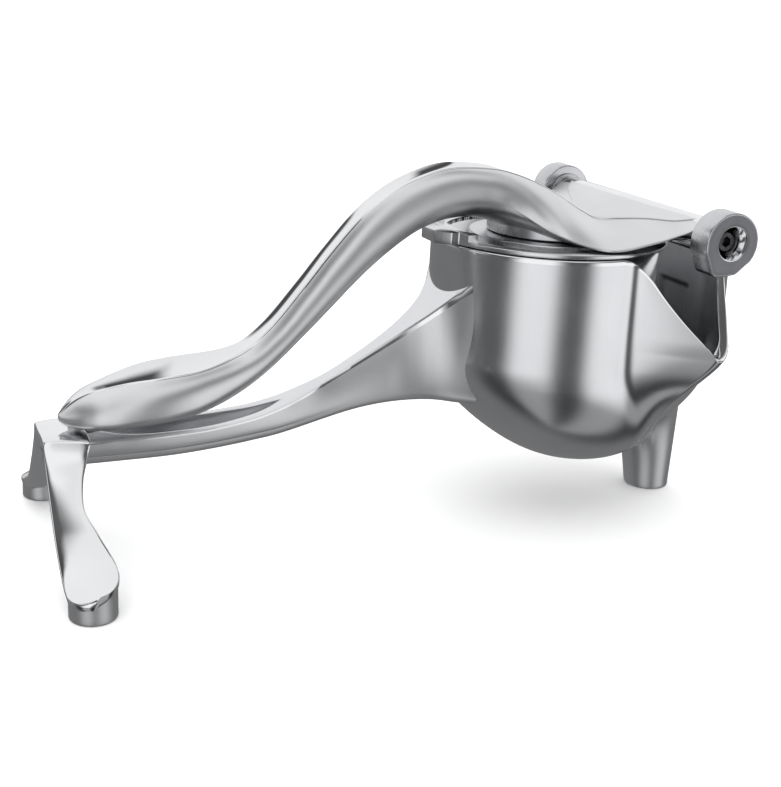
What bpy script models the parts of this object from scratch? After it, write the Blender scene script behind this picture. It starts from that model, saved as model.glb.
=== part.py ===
"""Citrus press juicer: a cast aluminium hand press with a lift-out strainer.

Metres, +Z up. The handle points along -X, the hinge is at the +X end and its axis lies along Y.
The origin is on the ground under the middle of the whole press.
"""
import bpy
import bmesh
import numpy as np
from math import pi

MM = 0.001
GAP = 0.3 * MM                   # between pieces that touch
OVERSHOOT = 1.0 * MM             # how far a cutter reaches past the face it starts from

# Cup: a bowl whose axis stands at CUP_X, widened at the hinge end into a beak on each side
CUP_X = 57.5 * MM
CUP_RADIUS = 41.0 * MM
CUP_WALL = 2.8 * MM
CUP_BOTTOM_Z = 17.5 * MM
CUP_RIM_Z = 97.0 * MM
CAVITY_TOP_Z = 101.0 * MM        # the cavity's cutter also clears the space just above the rim
BOWL_ROUNDING = 35.1 * MM
REAR_X = 115.0 * MM              # outer face of the rear wall at the middle
REAR_HALF_WIDTH = 18.0 * MM      # where the rear wall starts to slant towards the beaks
REAR_ROUNDING = 40.0 * MM
NOSE = (95.5 * MM, -59.3 * MM)   # where the two walls of a beak would meet without rounding
NOSE_RADIUS = 3.6 * MM
VALLEY_ANGLE = np.radians(-76.0)
VALLEY_BLEND = 3.0 * MM
BEAK_LIP_Z = 66.0 * MM           # lowest point of a beak's lip
# Heights between which the wall moves out from the bare bowl to its full reach, and the angles where the rear
# wall's heights give way to the keel's, and the keel's to those of the groove between beak and bowl
KEEL_HEIGHTS = (30.8 * MM, 71.6 * MM)
REAR_HEIGHTS = (15.0 * MM, 59.9 * MM)
GROOVE_HEIGHTS = (20.0 * MM, 62.0 * MM)
REAR_SPREAD = (np.radians(20), np.radians(46))
GROOVE_SPREAD = (np.radians(58), np.radians(74))
BOTTOM_SHIFT = 16.0 * MM         # how far the bottom of the bowl lies towards the rear foot
BOTTOM_SHIFT_HEIGHT = 41.2 * MM
NOSE_LEAN = 0.22                 # how far a beak leans inwards per unit of height above its lip

# Strainer
STRAINER_WALL = 1.6 * MM
STRAINER_BOTTOM_Z = 38.0 * MM
STRAINER_ROUNDING = 28.0 * MM
FLANGE_THICKNESS = 1.5 * MM
LUG_REACH = 46.5 * MM            # from the cup's axis to the lug's end
LUG_HALF_WIDTH = 9.5 * MM
LUG_CHAMFER = 4.5 * MM
LUG_THICKNESS = 4.0 * MM
SLOT_COUNT = 10
SLOT_WIDTH = 3.0 * MM
SLOT_INNER = 8.0 * MM
SLOT_OUTER = 27.0 * MM
SLOT_DROP = 4.0 * MM             # a slot's cutter, below and above the strainer's bottom
SLOT_RISE = 22.0 * MM

# Hinge
HINGE_X = 91.4 * MM
HINGE_Z = 104.9 * MM
EAR_RADIUS = 9.8 * MM
EAR_OUTER_Y = 57.4 * MM
EAR_THICKNESS = 9.4 * MM
EAR_FOOT_Z = 86.0 * MM          # where an ear's post ends in the beak's wall
EAR_TAPER = 4.0 * MM            # the post starts this far below the hinge and narrows by as much
CONE_LIP = 0.6 * MM             # widening of the cone's cutter past the ear's face
BARREL_RADIUS = 5.8 * MM
ROD_RADIUS = 3.4 * MM
WASHER_THICKNESS = 1.0 * MM
WASHER_RADIUS = 6.8 * MM
CONE_RADIUS = 5.4 * MM
CONE_DEPTH = 3.5 * MM
SCREW_HEAD_RADIUS = 3.1 * MM
SCREW_HEAD_LENGTH = 3.0 * MM
SCREW_SHANK_RADIUS = 2.0 * MM
SCREW_SHANK_LENGTH = 10.0 * MM
SOCKET_RADIUS = 1.7 * MM
SOCKET_DEPTH = 2.0 * MM

# Legs and feet
FRONT_FOOT = (-110.1 * MM, 48.3 * MM)
FRONT_FOOT_RADIUS = 7.4 * MM
FOOT_HEIGHT = 6.0 * MM
FOOT_SINK = 2.0 * MM             # how far a front foot runs up into its leg
CROSSBAR_X = -110.5 * MM
CROSSBAR_DEPTH = 14.0 * MM
CROSSBAR_HALF = 12.1 * MM
CROSSBAR_TOP_Z = 40.9 * MM
CROSSBAR_BOTTOM_Z = 31.0 * MM
LEG_TOP_Y = 7.0 * MM             # start of a leg inside the crossbar
LEG_TOP_Z = 35.4 * MM
LEG_SINK = 1.5 * MM              # a leg's last section lies this far above the top of its foot
LEG_HALF_WIDTH = 7.0 * MM
LEG_PINCH = 2.2 * MM             # narrowing of a leg between crossbar and foot
LEG_THICKNESS = (5.2 * MM, 4.0 * MM)
LEG_NORMAL = (0.62, 0.78)        # y and z of the direction across a leg's thickness
REAR_FOOT_X = 109.5 * MM
REAR_FOOT_RADII = (8.2 * MM, 8.8 * MM, 11.2 * MM)
REAR_FOOT_HEIGHTS = (0.0, 12.0 * MM, 60.0 * MM)
REAR_FOOT_LEAN = 0.08            # how far the rear foot leans forward per unit of height

# Press head under the lever
HEAD_RADIUS = 28.0 * MM
HEAD_TOP_Z = 99.0 * MM
HEAD_SHOULDER_Z = 78.0 * MM
HEAD_BOTTOM_Z = 57.0 * MM
PLATE_BOTTOM_Z = 99.4 * MM
NECK_TOP_Z = 105.9 * MM          # thickening of the lever's plate over the press head
NECK_TOP_RADIUS = 27.0 * MM
HEAD_SCREW_RADIUS = 3.0 * MM
HEAD_SCREW_HEAD_RADIUS = 5.5 * MM
HEAD_SCREW_HEAD_HEIGHT = 3.0 * MM
HEAD_SCREW_TOP_Z = 108.0 * MM

# Lower handle, millimetres: x, top, bottom, half width
HANDLE_STATIONS = [
    (-112, 39.5, 30.5, 10.0), (-84, 39.5, 30.6, 10.0), (-64, 40.0, 31.6, 9.0), (-54, 41.3, 32.4, 8.0),
    (-44, 43.2, 33.6, 7.0), (-34, 46.8, 35.6, 6.2), (-24, 51.5, 38.2, 6.0), (-14, 57.2, 40.6, 6.2),
    (-4, 63.2, 42.2, 7.2), (6, 70.0, 43.2, 9.5), (13, 77.5, 43.8, 13.0), (20, 89.0, 44.0, 17.0),
]
# Thumb trough in the top of the lower handle, millimetres: x, top, bottom, half width
TROUGH_STATIONS = [
    (-96, 42, 38.5, 1.5), (-92, 45, 36.0, 5.0), (-80, 47, 35.0, 7.0), (-66, 47, 35.4, 6.6), (-54, 48, 37.4, 4.6),
    (-46, 49, 39.8, 2.8), (-39, 50, 43.4, 0.8),
]
# Lever, millimetres: x, top, bottom, half width
LEVER_STATIONS = [
    (-111, 46.5, 43.0, 2.5), (-108, 50, 41.6, 7), (-103, 53, 41.3, 11.5), (-94, 56, 41.8, 15.5),
    (-84, 57.6, 42.6, 17.5), (-74, 58.6, 43.6, 17), (-66, 59.6, 45, 15), (-59, 61, 47.5, 12.5),
    (-52, 64, 51, 10.3), (-44, 70.8, 56.5, 9.2), (-34, 82.5, 65.5, 9), (-24, 95, 75, 9),
    (-14, 106.3, 85, 9.5), (-4, 114.3, 94, 10), (6, 118.8, 101.8, 11), (16, 121.5, 106.3, 12),
    (26, 122.3, 107.4, 13), (38, 121, 106.3, 14.5), (48, 118.6, 103.3, 17), (58, 114, 100.5, 24),
    (66, 108.5, 99.4, 34), (74, 105.2, 99.4, 40), (82, 104.3, 99.4, 43.5), (88, 104.5, 99.6, 45.5),
]

METALS = {                       # colour, roughness
    "polished": ((0.80, 0.81, 0.82), 0.12),
    "satin": ((0.66, 0.67, 0.68), 0.35),
    "steel": ((0.50, 0.51, 0.53), 0.30),
}


def clear_scene():
    for obj in list(bpy.data.objects):
        bpy.data.objects.remove(obj)


def metal(name, finish):
    colour, roughness = METALS[finish]
    material = bpy.data.materials.new(name)
    material.use_nodes = True
    shader = material.node_tree.nodes["Principled BSDF"]
    shader.inputs["Base Color"].default_value = (*colour, 1.0)
    shader.inputs["Metallic"].default_value = 1.0
    shader.inputs["Roughness"].default_value = roughness
    return material


def new_object(name, verts, faces, finish="satin"):
    mesh = bpy.data.meshes.new(name)
    mesh.from_pydata([tuple(v) for v in verts], [], faces)
    work = bmesh.new()
    work.from_mesh(mesh)
    bmesh.ops.recalc_face_normals(work, faces=work.faces)
    bmesh.ops.triangulate(work, faces=work.faces)
    work.to_mesh(mesh)
    work.free()
    mesh.shade_smooth()
    mesh.set_sharp_from_angle(angle=np.radians(35))
    obj = bpy.data.objects.new(name, mesh)
    bpy.context.collection.objects.link(obj)
    mesh.materials.append(metal(name, finish))
    return obj


def loft(name, loops, finish="satin"):
    """A closed skin through loops of equal length, with a fan to the middle of each end loop."""
    loops = [np.asarray(loop, float) for loop in loops]
    count = len(loops[0])
    verts = [point for loop in loops for point in loop]
    faces = []
    for row in range(len(loops) - 1):
        for i in range(count):
            j = (i + 1) % count
            a, b = row * count + i, row * count + j
            faces.append((a, b, b + count, a + count))
    for start, loop in ((0, loops[0]), ((len(loops) - 1) * count, loops[-1])):
        middle = len(verts)
        verts.append(loop.mean(axis=0))
        for i in range(count):
            faces.append((start + i, start + (i + 1) % count, middle))
    return new_object(name, verts, faces, finish)


def circle(count):
    return np.linspace(0, 2 * pi, count, endpoint=False)


def turned_y(name, profile, x, z, count=24, finish="steel"):
    """A solid turned about an axis along Y: profile is a list of (y, radius)."""
    angle = circle(count)
    loops = []
    for y, radius in profile:
        ring = [x + radius * np.cos(angle), np.full(count, y), z + radius * np.sin(angle)]
        loops.append(np.stack(ring, axis=1))
    return loft(name, loops, finish)


def turned_z(name, profile, x, y, count=32, finish="steel"):
    """A solid turned about an upright axis: profile is a list of (z, radius)."""
    angle = circle(count)
    loops = []
    for z, radius in profile:
        ring = [x + radius * np.cos(angle), y + radius * np.sin(angle), np.full(count, z)]
        loops.append(np.stack(ring, axis=1))
    return loft(name, loops, finish)


def combine(target, tool, operation):
    """Union with, or cut by, another object, which is used up."""
    modifier = target.modifiers.new(operation.title(), "BOOLEAN")
    modifier.operation = operation
    modifier.solver = "EXACT"
    modifier.object = tool
    bpy.context.view_layer.update()
    graph = bpy.context.evaluated_depsgraph_get()
    mesh = bpy.data.meshes.new_from_object(target.evaluated_get(graph))
    target.modifiers.clear()
    work = bmesh.new()
    work.from_mesh(mesh)
    bmesh.ops.remove_doubles(work, verts=work.verts, dist=0.00001)
    bmesh.ops.triangulate(work, faces=work.faces)
    work.to_mesh(mesh)
    work.free()
    mesh.materials.clear()
    mesh.materials.append(target.data.materials[0])
    mesh.shade_smooth()
    mesh.set_sharp_from_angle(angle=np.radians(35))
    target.data = mesh
    bpy.data.objects.remove(tool)


def smooth_step(t):
    t = np.clip(t, 0, 1)
    return t * t * (3 - 2 * t)


def smooth_max(a, b, blend):
    h = np.maximum(blend - np.abs(a - b), 0) / blend
    return np.maximum(a, b) + h * h * blend / 4


def corner_arc(before, corner, after, radius, steps):
    """Points of the arc that rounds one corner of a path."""
    corner = np.asarray(corner)
    into = (corner - before) / np.linalg.norm(corner - before)
    away = (after - corner) / np.linalg.norm(after - corner)
    turn = np.arccos(np.clip(into @ away, -1, 1))
    setback = radius * np.tan(turn / 2)
    bisector = (away - into) / np.linalg.norm(away - into)
    centre = corner + bisector * radius / np.cos(turn / 2)
    start, end = corner - into * setback - centre, corner + away * setback - centre
    t = np.linspace(0, 1, steps)[:, None]
    return centre + (np.sin((1 - t) * turn) * start + np.sin(t * turn) * end) / np.sin(turn)


def beak_outline():
    """Half of the rear wall and one beak, from the middle of the rear wall to the bowl, seen from above."""
    valley = np.array([CUP_X + CUP_RADIUS * np.cos(VALLEY_ANGLE), CUP_RADIUS * np.sin(VALLEY_ANGLE)])
    rear = np.array([REAR_X, 0.0])
    shoulder = np.array([REAR_X, -REAR_HALF_WIDTH])
    nose = np.array(NOSE)
    shoulder_arc = corner_arc(rear, shoulder, nose, REAR_ROUNDING, 5)
    nose_arc = corner_arc(shoulder, nose, valley, NOSE_RADIUS, 7)
    inside = nose_arc[-1] + (valley - nose) * 1.25
    left_wall = nose_arc[-1] + (inside - nose_arc[-1]) * np.linspace(0, 1, 10)[1:, None]
    rear_wall = shoulder_arc[-1] + (nose_arc[0] - shoulder_arc[-1]) * np.linspace(0, 1, 6)[1:-1, None]
    return np.vstack([rear, shoulder_arc, rear_wall, nose_arc, left_wall])


def polar(points):
    x, y = points[:, 0] - CUP_X, points[:, 1]
    return np.arctan2(y, x), np.hypot(x, y)


def outline_radii(angles):
    """Outer radius of the cup with its beaks, by the angle about the cup's axis."""
    beak_angle, beak_radius = polar(beak_outline())
    beak = np.interp(-np.abs(angles), beak_angle[::-1], beak_radius[::-1], left=0.0)
    return smooth_max(np.full_like(angles, CUP_RADIUS), beak, VALLEY_BLEND)


def outline_angles():
    """Angles that put a vertex on each point of the beaks and share the rest out evenly."""
    beak_angle, _ = polar(beak_outline())
    half = [a for a in beak_angle[1:] if a > VALLEY_ANGLE - 0.12]
    first = half[-1]
    half += list(np.linspace(first, -pi, 17)[1:-1])
    half = np.array(half)
    return np.concatenate([[0.0], half, [-pi], -half[::-1]])


def inner_radii(angles, thickness):
    """Radius of the line that lies one wall thickness inside the outline."""
    fine = np.linspace(-pi, pi, 4001)[:-1]
    radius = outline_radii(fine)
    x, y = radius * np.cos(fine), radius * np.sin(fine)
    dx, dy = np.roll(x, -1) - np.roll(x, 1), np.roll(y, -1) - np.roll(y, 1)
    length = np.hypot(dx, dy)
    inner_x, inner_y = x - thickness * dy / length, y + thickness * dx / length
    inner_angle, inner_radius = np.arctan2(inner_y, inner_x), np.hypot(inner_x, inner_y)
    order = np.argsort(inner_angle)
    return np.interp(angles, inner_angle[order], inner_radius[order], period=2 * pi)


def beak_share(z, angles, raised):
    """How much of the beak's reach there is at a height: 0 on the bare bowl, 1 well above it."""
    start, end = REAR_SPREAD
    rearness = 1 - smooth_step((np.abs(angles) - start) / (end - start))
    start, end = GROOVE_SPREAD
    grooved = smooth_step((np.abs(angles) - start) / (end - start))
    root, full = [keel + (rear - keel) * rearness for keel, rear in zip(KEEL_HEIGHTS, REAR_HEIGHTS)]
    root, full = root + (GROOVE_HEIGHTS[0] - root) * grooved, full + (GROOVE_HEIGHTS[1] - full) * grooved
    return smooth_step((z - root - raised) / (full - root))


def lean_in(points):
    """Leans the beaks inwards above their lips."""
    height = np.maximum(points[:, 2] - BEAK_LIP_Z, 0)
    sideways = smooth_step((np.abs(points[:, 1]) - 38 * MM) / (18 * MM))
    points[:, 0] -= NOSE_LEAN * height * sideways
    return points


def bowl_loops(angles, reach, radius, bottom_z, top_z, raised, rings=8):
    """Loops of a bowl from its flat bottom up to top_z, which may vary with the angle."""
    foot = radius - BOWL_ROUNDING
    loops = []
    for theta in np.linspace(0, pi / 2, rings):
        z = bottom_z + BOWL_ROUNDING * (1 - np.cos(theta))
        ring = foot + BOWL_ROUNDING * np.sin(theta) + beak_share(z, angles, raised) * (reach - radius)
        loops.append((ring, np.full_like(angles, z)))
    straight_z = bottom_z + BOWL_ROUNDING
    for t in np.linspace(0, 1, 5)[1:]:
        z = straight_z + (top_z - straight_z) * t
        loops.append((radius + beak_share(z, angles, raised) * (reach - radius), z))
    out = []
    for ring, z in loops:
        z = np.broadcast_to(z, ring.shape)
        shift = BOTTOM_SHIFT * (1 - smooth_step((z - bottom_z) / BOTTOM_SHIFT_HEIGHT))
        points = np.stack([CUP_X + shift + ring * np.cos(angles), ring * np.sin(angles), z], axis=1)
        out.append(lean_in(points))
    return out


def lip_heights(angles):
    """The rim, which drops along the beak's side wall to its lip and climbs again beyond the nose."""
    wall_start = VALLEY_ANGLE + np.radians(2)
    nose_angle = np.arctan2(NOSE[1], NOSE[0] - CUP_X)
    position = -np.abs(angles)
    radius = outline_radii(angles)
    along = radius * np.cos(position)
    start = CUP_RADIUS * np.cos(wall_start)
    end = NOSE[0] - CUP_X - 2.5 * MM
    fall = np.clip((along - start) / (end - start), 0, 1)
    climb = smooth_step((position - nose_angle - np.radians(0.5)) / np.radians(4.5))
    height = CUP_RIM_Z - (CUP_RIM_Z - BEAK_LIP_Z) * fall
    before_nose = position < nose_angle
    after = BEAK_LIP_Z + (CUP_RIM_Z - BEAK_LIP_Z) * climb
    height = np.where(before_nose, height, after)
    return np.where(position < wall_start, CUP_RIM_Z, height)


def make_cup():
    angles = outline_angles()
    outer = bowl_loops(angles, outline_radii(angles), CUP_RADIUS, CUP_BOTTOM_Z, lip_heights(angles), 0)
    return loft("body_casting", outer)


def make_cavity():
    angles = outline_angles()
    reach = inner_radii(angles, CUP_WALL)
    top = np.full_like(angles, CAVITY_TOP_Z)
    loops = bowl_loops(angles, reach, CUP_RADIUS - CUP_WALL, CUP_BOTTOM_Z + CUP_WALL, top,
                       CUP_WALL)
    return loft("cavity", loops)


def squircle(count, power):
    """A loop between an ellipse (power 1) and a rectangle (power 0), as (across, up) from -1 to 1."""
    angle = circle(count) + pi / count
    c, s = np.cos(angle), np.sin(angle)
    return np.sign(c) * np.abs(c) ** power, np.sign(s) * np.abs(s) ** power


def sweep_x(name, stations, power, count=16, finish="satin"):
    across, up = squircle(count, power)
    loops = []
    for x, top, bottom, half in np.array(stations) * MM:
        middle, height = (top + bottom) / 2, (top - bottom) / 2
        loops.append(np.stack([np.full(count, x), across * half, middle + up * height], axis=1))
    return loft(name, loops, finish)


def make_leg(side):
    """A leaf-shaped leg from the crossbar down and out to a round foot."""
    foot_x, foot_y = FRONT_FOOT
    across, up = squircle(16, 0.8)
    loops = []
    for t in np.linspace(0, 1, 8):
        x = CROSSBAR_X + (foot_x - CROSSBAR_X) * t
        y = LEG_TOP_Y + (foot_y - LEG_TOP_Y) * t
        z = LEG_TOP_Z + (FOOT_HEIGHT + LEG_SINK - LEG_TOP_Z) * t ** 1.15
        half = LEG_HALF_WIDTH - LEG_PINCH * np.sin(pi * min(t * 1.6, 1.0))
        thick = LEG_THICKNESS[0] + (LEG_THICKNESS[1] - LEG_THICKNESS[0]) * t
        loops.append(np.stack([x + across * half, y + up * thick * LEG_NORMAL[0], z + up * thick * LEG_NORMAL[1]],
                              axis=1) * [1, side, 1])
    return loft("leg", loops)


def make_body():
    body = make_cup()
    body.data.materials.clear()
    body.data.materials.append(metal("body_satin", "satin"))
    combine(body, sweep_x("handle", HANDLE_STATIONS, 0.6), "UNION")
    combine(body, sweep_x("trough", TROUGH_STATIONS, 0.9), "DIFFERENCE")
    angle = circle(20)
    loops = []
    for z, radius in zip(REAR_FOOT_HEIGHTS, REAR_FOOT_RADII):
        x = REAR_FOOT_X - REAR_FOOT_LEAN * z
        loops.append(np.stack([x + radius * np.cos(angle), radius * np.sin(angle), np.full(20, z)], axis=1))
    combine(body, loft("column", loops), "UNION")
    combine(body, make_cavity(), "DIFFERENCE")
    bar_low, bar_high = CROSSBAR_X - CROSSBAR_DEPTH / 2, CROSSBAR_X + CROSSBAR_DEPTH / 2
    bar = [(bar_low, CROSSBAR_BOTTOM_Z), (bar_low, CROSSBAR_TOP_Z), (bar_high, CROSSBAR_TOP_Z),
           (bar_high, CROSSBAR_BOTTOM_Z)]
    loops = [[(x, y, z) for x, z in bar] for y in (-CROSSBAR_HALF, CROSSBAR_HALF)]
    combine(body, loft("crossbar", loops), "UNION")
    for side in (-1, 1):
        combine(body, make_leg(side), "UNION")
        foot = [(0.0, FRONT_FOOT_RADIUS), (FOOT_HEIGHT + FOOT_SINK, FRONT_FOOT_RADIUS)]
        combine(body, turned_z("foot", foot, FRONT_FOOT[0], side * FRONT_FOOT[1], 20), "UNION")
        combine(body, make_ear(side), "UNION")
        combine(body, make_ear_bore(side), "DIFFERENCE")
    return body


def make_ear(side):
    inner, outer = EAR_OUTER_Y - EAR_THICKNESS, EAR_OUTER_Y
    angle = np.linspace(0, pi, 15)
    arc = [(HINGE_X + EAR_RADIUS * np.cos(a), HINGE_Z + EAR_RADIUS * np.sin(a)) for a in angle]
    post = [(HINGE_X - EAR_RADIUS, HINGE_Z - EAR_TAPER), (HINGE_X - EAR_RADIUS + EAR_TAPER, EAR_FOOT_Z),
            (HINGE_X, EAR_FOOT_Z), (HINGE_X + EAR_RADIUS * np.cos(pi / 3), HINGE_Z - EAR_RADIUS * np.sin(pi / 3))]
    outline = arc + post
    loops = [[(x, side * y, z) for x, z in outline] for y in (inner, outer)]
    return loft("ear", loops)


def make_ear_bore(side):
    """Cone, screw-head bore and shank hole, as one cutter from outside the ear inwards."""
    face = EAR_OUTER_Y
    step = CONE_DEPTH + SCREW_HEAD_LENGTH + GAP
    profile = [(face + OVERSHOOT, CONE_RADIUS + CONE_LIP), (face - CONE_DEPTH, SCREW_HEAD_RADIUS + GAP),
               (face - step, SCREW_HEAD_RADIUS + GAP), (face - step, SCREW_SHANK_RADIUS + GAP),
               (face - EAR_THICKNESS - OVERSHOOT, SCREW_SHANK_RADIUS + GAP)]
    return turned_y("bore", [(side * y, radius) for y, radius in profile], HINGE_X, HINGE_Z)


def make_strainer():
    outer_radius = CUP_RADIUS - CUP_WALL - GAP
    inner_radius = outer_radius - STRAINER_WALL
    top = CUP_RIM_Z + GAP + FLANGE_THICKNESS
    flange_radius = CUP_RADIUS - 0.6 * MM
    theta = np.linspace(0, pi / 2, 6)
    rounding = STRAINER_ROUNDING
    outside = [(STRAINER_BOTTOM_Z + rounding * (1 - np.cos(a)), outer_radius - rounding * (1 - np.sin(a)))
               for a in theta]
    small = rounding - STRAINER_WALL
    inside = [(STRAINER_BOTTOM_Z + STRAINER_WALL + small * (1 - np.cos(a)),
               inner_radius - small * (1 - np.sin(a))) for a in theta]
    profile = outside + [(CUP_RIM_Z + GAP, outer_radius), (CUP_RIM_Z + GAP, flange_radius), (top, flange_radius),
                         (top, inner_radius)] + inside[::-1]
    strainer = turned_z("strainer_insert", profile, CUP_X, 0, 40, "satin")
    combine(strainer, make_lug(), "UNION")
    for i in range(SLOT_COUNT):
        combine(strainer, make_slot(2 * pi * (i + 0.5) / SLOT_COUNT), "DIFFERENCE")
    return strainer


def make_lug():
    low, high = CUP_RIM_Z + GAP, CUP_RIM_Z + GAP + LUG_THICKNESS
    end, root, half = CUP_X - LUG_REACH, CUP_X - 38.5 * MM, LUG_HALF_WIDTH
    outline = [(root, -half), (root, half), (end + LUG_CHAMFER, half), (end, half - LUG_CHAMFER),
               (end, -half + LUG_CHAMFER), (end + LUG_CHAMFER, -half)]
    return loft("lug", [[(x, y, z) for x, y in outline] for z in (low, high)])


def make_slot(angle):
    low, high = STRAINER_BOTTOM_Z - SLOT_DROP, STRAINER_BOTTOM_Z + SLOT_RISE
    along, across = np.array([np.cos(angle), np.sin(angle)]), np.array([-np.sin(angle), np.cos(angle)])
    corners = [(SLOT_INNER, -1), (SLOT_OUTER, -1), (SLOT_OUTER, 1), (SLOT_INNER, 1)]
    plan = [np.array([CUP_X, 0]) + along * r + across * s * SLOT_WIDTH / 2 for r, s in corners]
    return loft("slot", [[(p[0], p[1], z) for p in plan] for z in (low, high)])


def make_lever():
    lever = sweep_x("lever_casting", LEVER_STATIONS, 0.7, 16, "polished")
    neck = [(PLATE_BOTTOM_Z, HEAD_RADIUS), (NECK_TOP_Z, NECK_TOP_RADIUS)]
    combine(lever, turned_z("neck", neck, CUP_X, 0, 32), "UNION")
    half = barrel_half_length()
    combine(lever, turned_y("barrel", [(-half, BARREL_RADIUS), (half, BARREL_RADIUS)], HINGE_X, HINGE_Z), "UNION")
    bore = [(-half - OVERSHOOT, ROD_RADIUS + GAP), (half + OVERSHOOT, ROD_RADIUS + GAP)]
    combine(lever, turned_y("rod_hole", bore, HINGE_X, HINGE_Z), "DIFFERENCE")
    hole = [(PLATE_BOTTOM_Z - OVERSHOOT, HEAD_SCREW_RADIUS + GAP), (HEAD_SCREW_TOP_Z + GAP, HEAD_SCREW_RADIUS + GAP)]
    combine(lever, turned_z("head_screw_hole", hole, CUP_X, 0, 16), "DIFFERENCE")
    return lever


def barrel_half_length():
    return EAR_OUTER_Y - EAR_THICKNESS - 2 * GAP - WASHER_THICKNESS


def make_press_head():
    drop = HEAD_SHOULDER_Z - HEAD_BOTTOM_Z
    seat_z = HEAD_BOTTOM_Z + HEAD_SCREW_HEAD_HEIGHT + GAP
    dome = [(HEAD_SHOULDER_Z - drop * np.sin(a), HEAD_RADIUS * np.cos(a)) for a in np.linspace(0, pi / 2, 7)[:-1]]
    seat_radius = HEAD_SCREW_HEAD_RADIUS + GAP
    profile = [(HEAD_TOP_Z, HEAD_RADIUS)] + dome + [(HEAD_BOTTOM_Z, seat_radius + 2 * MM)]
    head = turned_z("press_head", profile, CUP_X, 0, 32, "satin")
    bore = [(HEAD_BOTTOM_Z - OVERSHOOT, seat_radius), (seat_z, seat_radius), (seat_z, HEAD_SCREW_RADIUS + GAP),
            (HEAD_TOP_Z + OVERSHOOT, HEAD_SCREW_RADIUS + GAP)]
    combine(head, turned_z("head_bore", bore, CUP_X, 0, 16), "DIFFERENCE")
    return head


def make_head_screw():
    top = HEAD_SCREW_TOP_Z
    seat = HEAD_BOTTOM_Z + HEAD_SCREW_HEAD_HEIGHT
    profile = [(HEAD_BOTTOM_Z, HEAD_SCREW_HEAD_RADIUS), (seat, HEAD_SCREW_HEAD_RADIUS), (seat, HEAD_SCREW_RADIUS),
               (top, HEAD_SCREW_RADIUS)]
    return turned_z("press_head_screw", profile, CUP_X, 0, 16)


def make_rod():
    half = EAR_OUTER_Y - EAR_THICKNESS - GAP
    hole = SCREW_SHANK_LENGTH - (EAR_THICKNESS - CONE_DEPTH - SCREW_HEAD_LENGTH) + 2 * GAP
    rod = turned_y("pivot_rod", [(-half, ROD_RADIUS), (half, ROD_RADIUS)], HINGE_X, HINGE_Z)
    for side in (-1, 1):
        tapped = [(side * (half + OVERSHOOT), SCREW_SHANK_RADIUS + GAP),
                  (side * (half - hole), SCREW_SHANK_RADIUS + GAP)]
        combine(rod, turned_y("tapped", tapped, HINGE_X, HINGE_Z, 16), "DIFFERENCE")
    return rod


def make_screw(name, side):
    face = EAR_OUTER_Y - CONE_DEPTH
    under = face - SCREW_HEAD_LENGTH
    profile = [(face, SCREW_HEAD_RADIUS), (under, SCREW_HEAD_RADIUS), (under, SCREW_SHANK_RADIUS),
               (under - SCREW_SHANK_LENGTH, SCREW_SHANK_RADIUS)]
    screw = turned_y(name, [(side * y, radius) for y, radius in profile], HINGE_X, HINGE_Z, 20)
    socket = [(face + OVERSHOOT, SOCKET_RADIUS), (face - SOCKET_DEPTH, SOCKET_RADIUS)]
    combine(screw, turned_y("socket", [(side * y, r) for y, r in socket], HINGE_X, HINGE_Z, 6), "DIFFERENCE")
    return screw


def make_washer(name, side):
    outer = EAR_OUTER_Y - EAR_THICKNESS - GAP
    inner = outer - WASHER_THICKNESS
    ring = turned_y(name, [(side * outer, WASHER_RADIUS), (side * inner, WASHER_RADIUS)], HINGE_X, HINGE_Z)
    hole = [(side * (outer + OVERSHOOT), ROD_RADIUS + GAP), (side * (inner - OVERSHOOT), ROD_RADIUS + GAP)]
    combine(ring, turned_y("washer_hole", hole, HINGE_X, HINGE_Z), "DIFFERENCE")
    return ring


def put_origin(obj, x, z):
    """Moves an object's origin to the hinge axis without moving its shape."""
    offset = np.array([x, 0.0, z])
    coords = np.empty(len(obj.data.vertices) * 3)
    obj.data.vertices.foreach_get("co", coords)
    coords = (coords.reshape(-1, 3) - offset).ravel()
    obj.data.vertices.foreach_set("co", coords)
    obj.data.update()
    obj.location = offset


def build():
    clear_scene()
    make_body()
    make_strainer()
    make_rod()
    for name, side in (("near", -1), ("far", 1)):
        make_screw(f"pivot_screw_{name}", side)
        make_washer(f"washer_{name}", side)
    for piece in (make_lever(), make_press_head(), make_head_screw()):
        put_origin(piece, HINGE_X, HINGE_Z)


build()
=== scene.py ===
# Citrus press juicer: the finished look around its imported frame.
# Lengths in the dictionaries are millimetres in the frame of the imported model: +Z up, the handle along -X.
import math

import bmesh
import bpy
import numpy as np
from mathutils import Matrix, Vector


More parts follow.
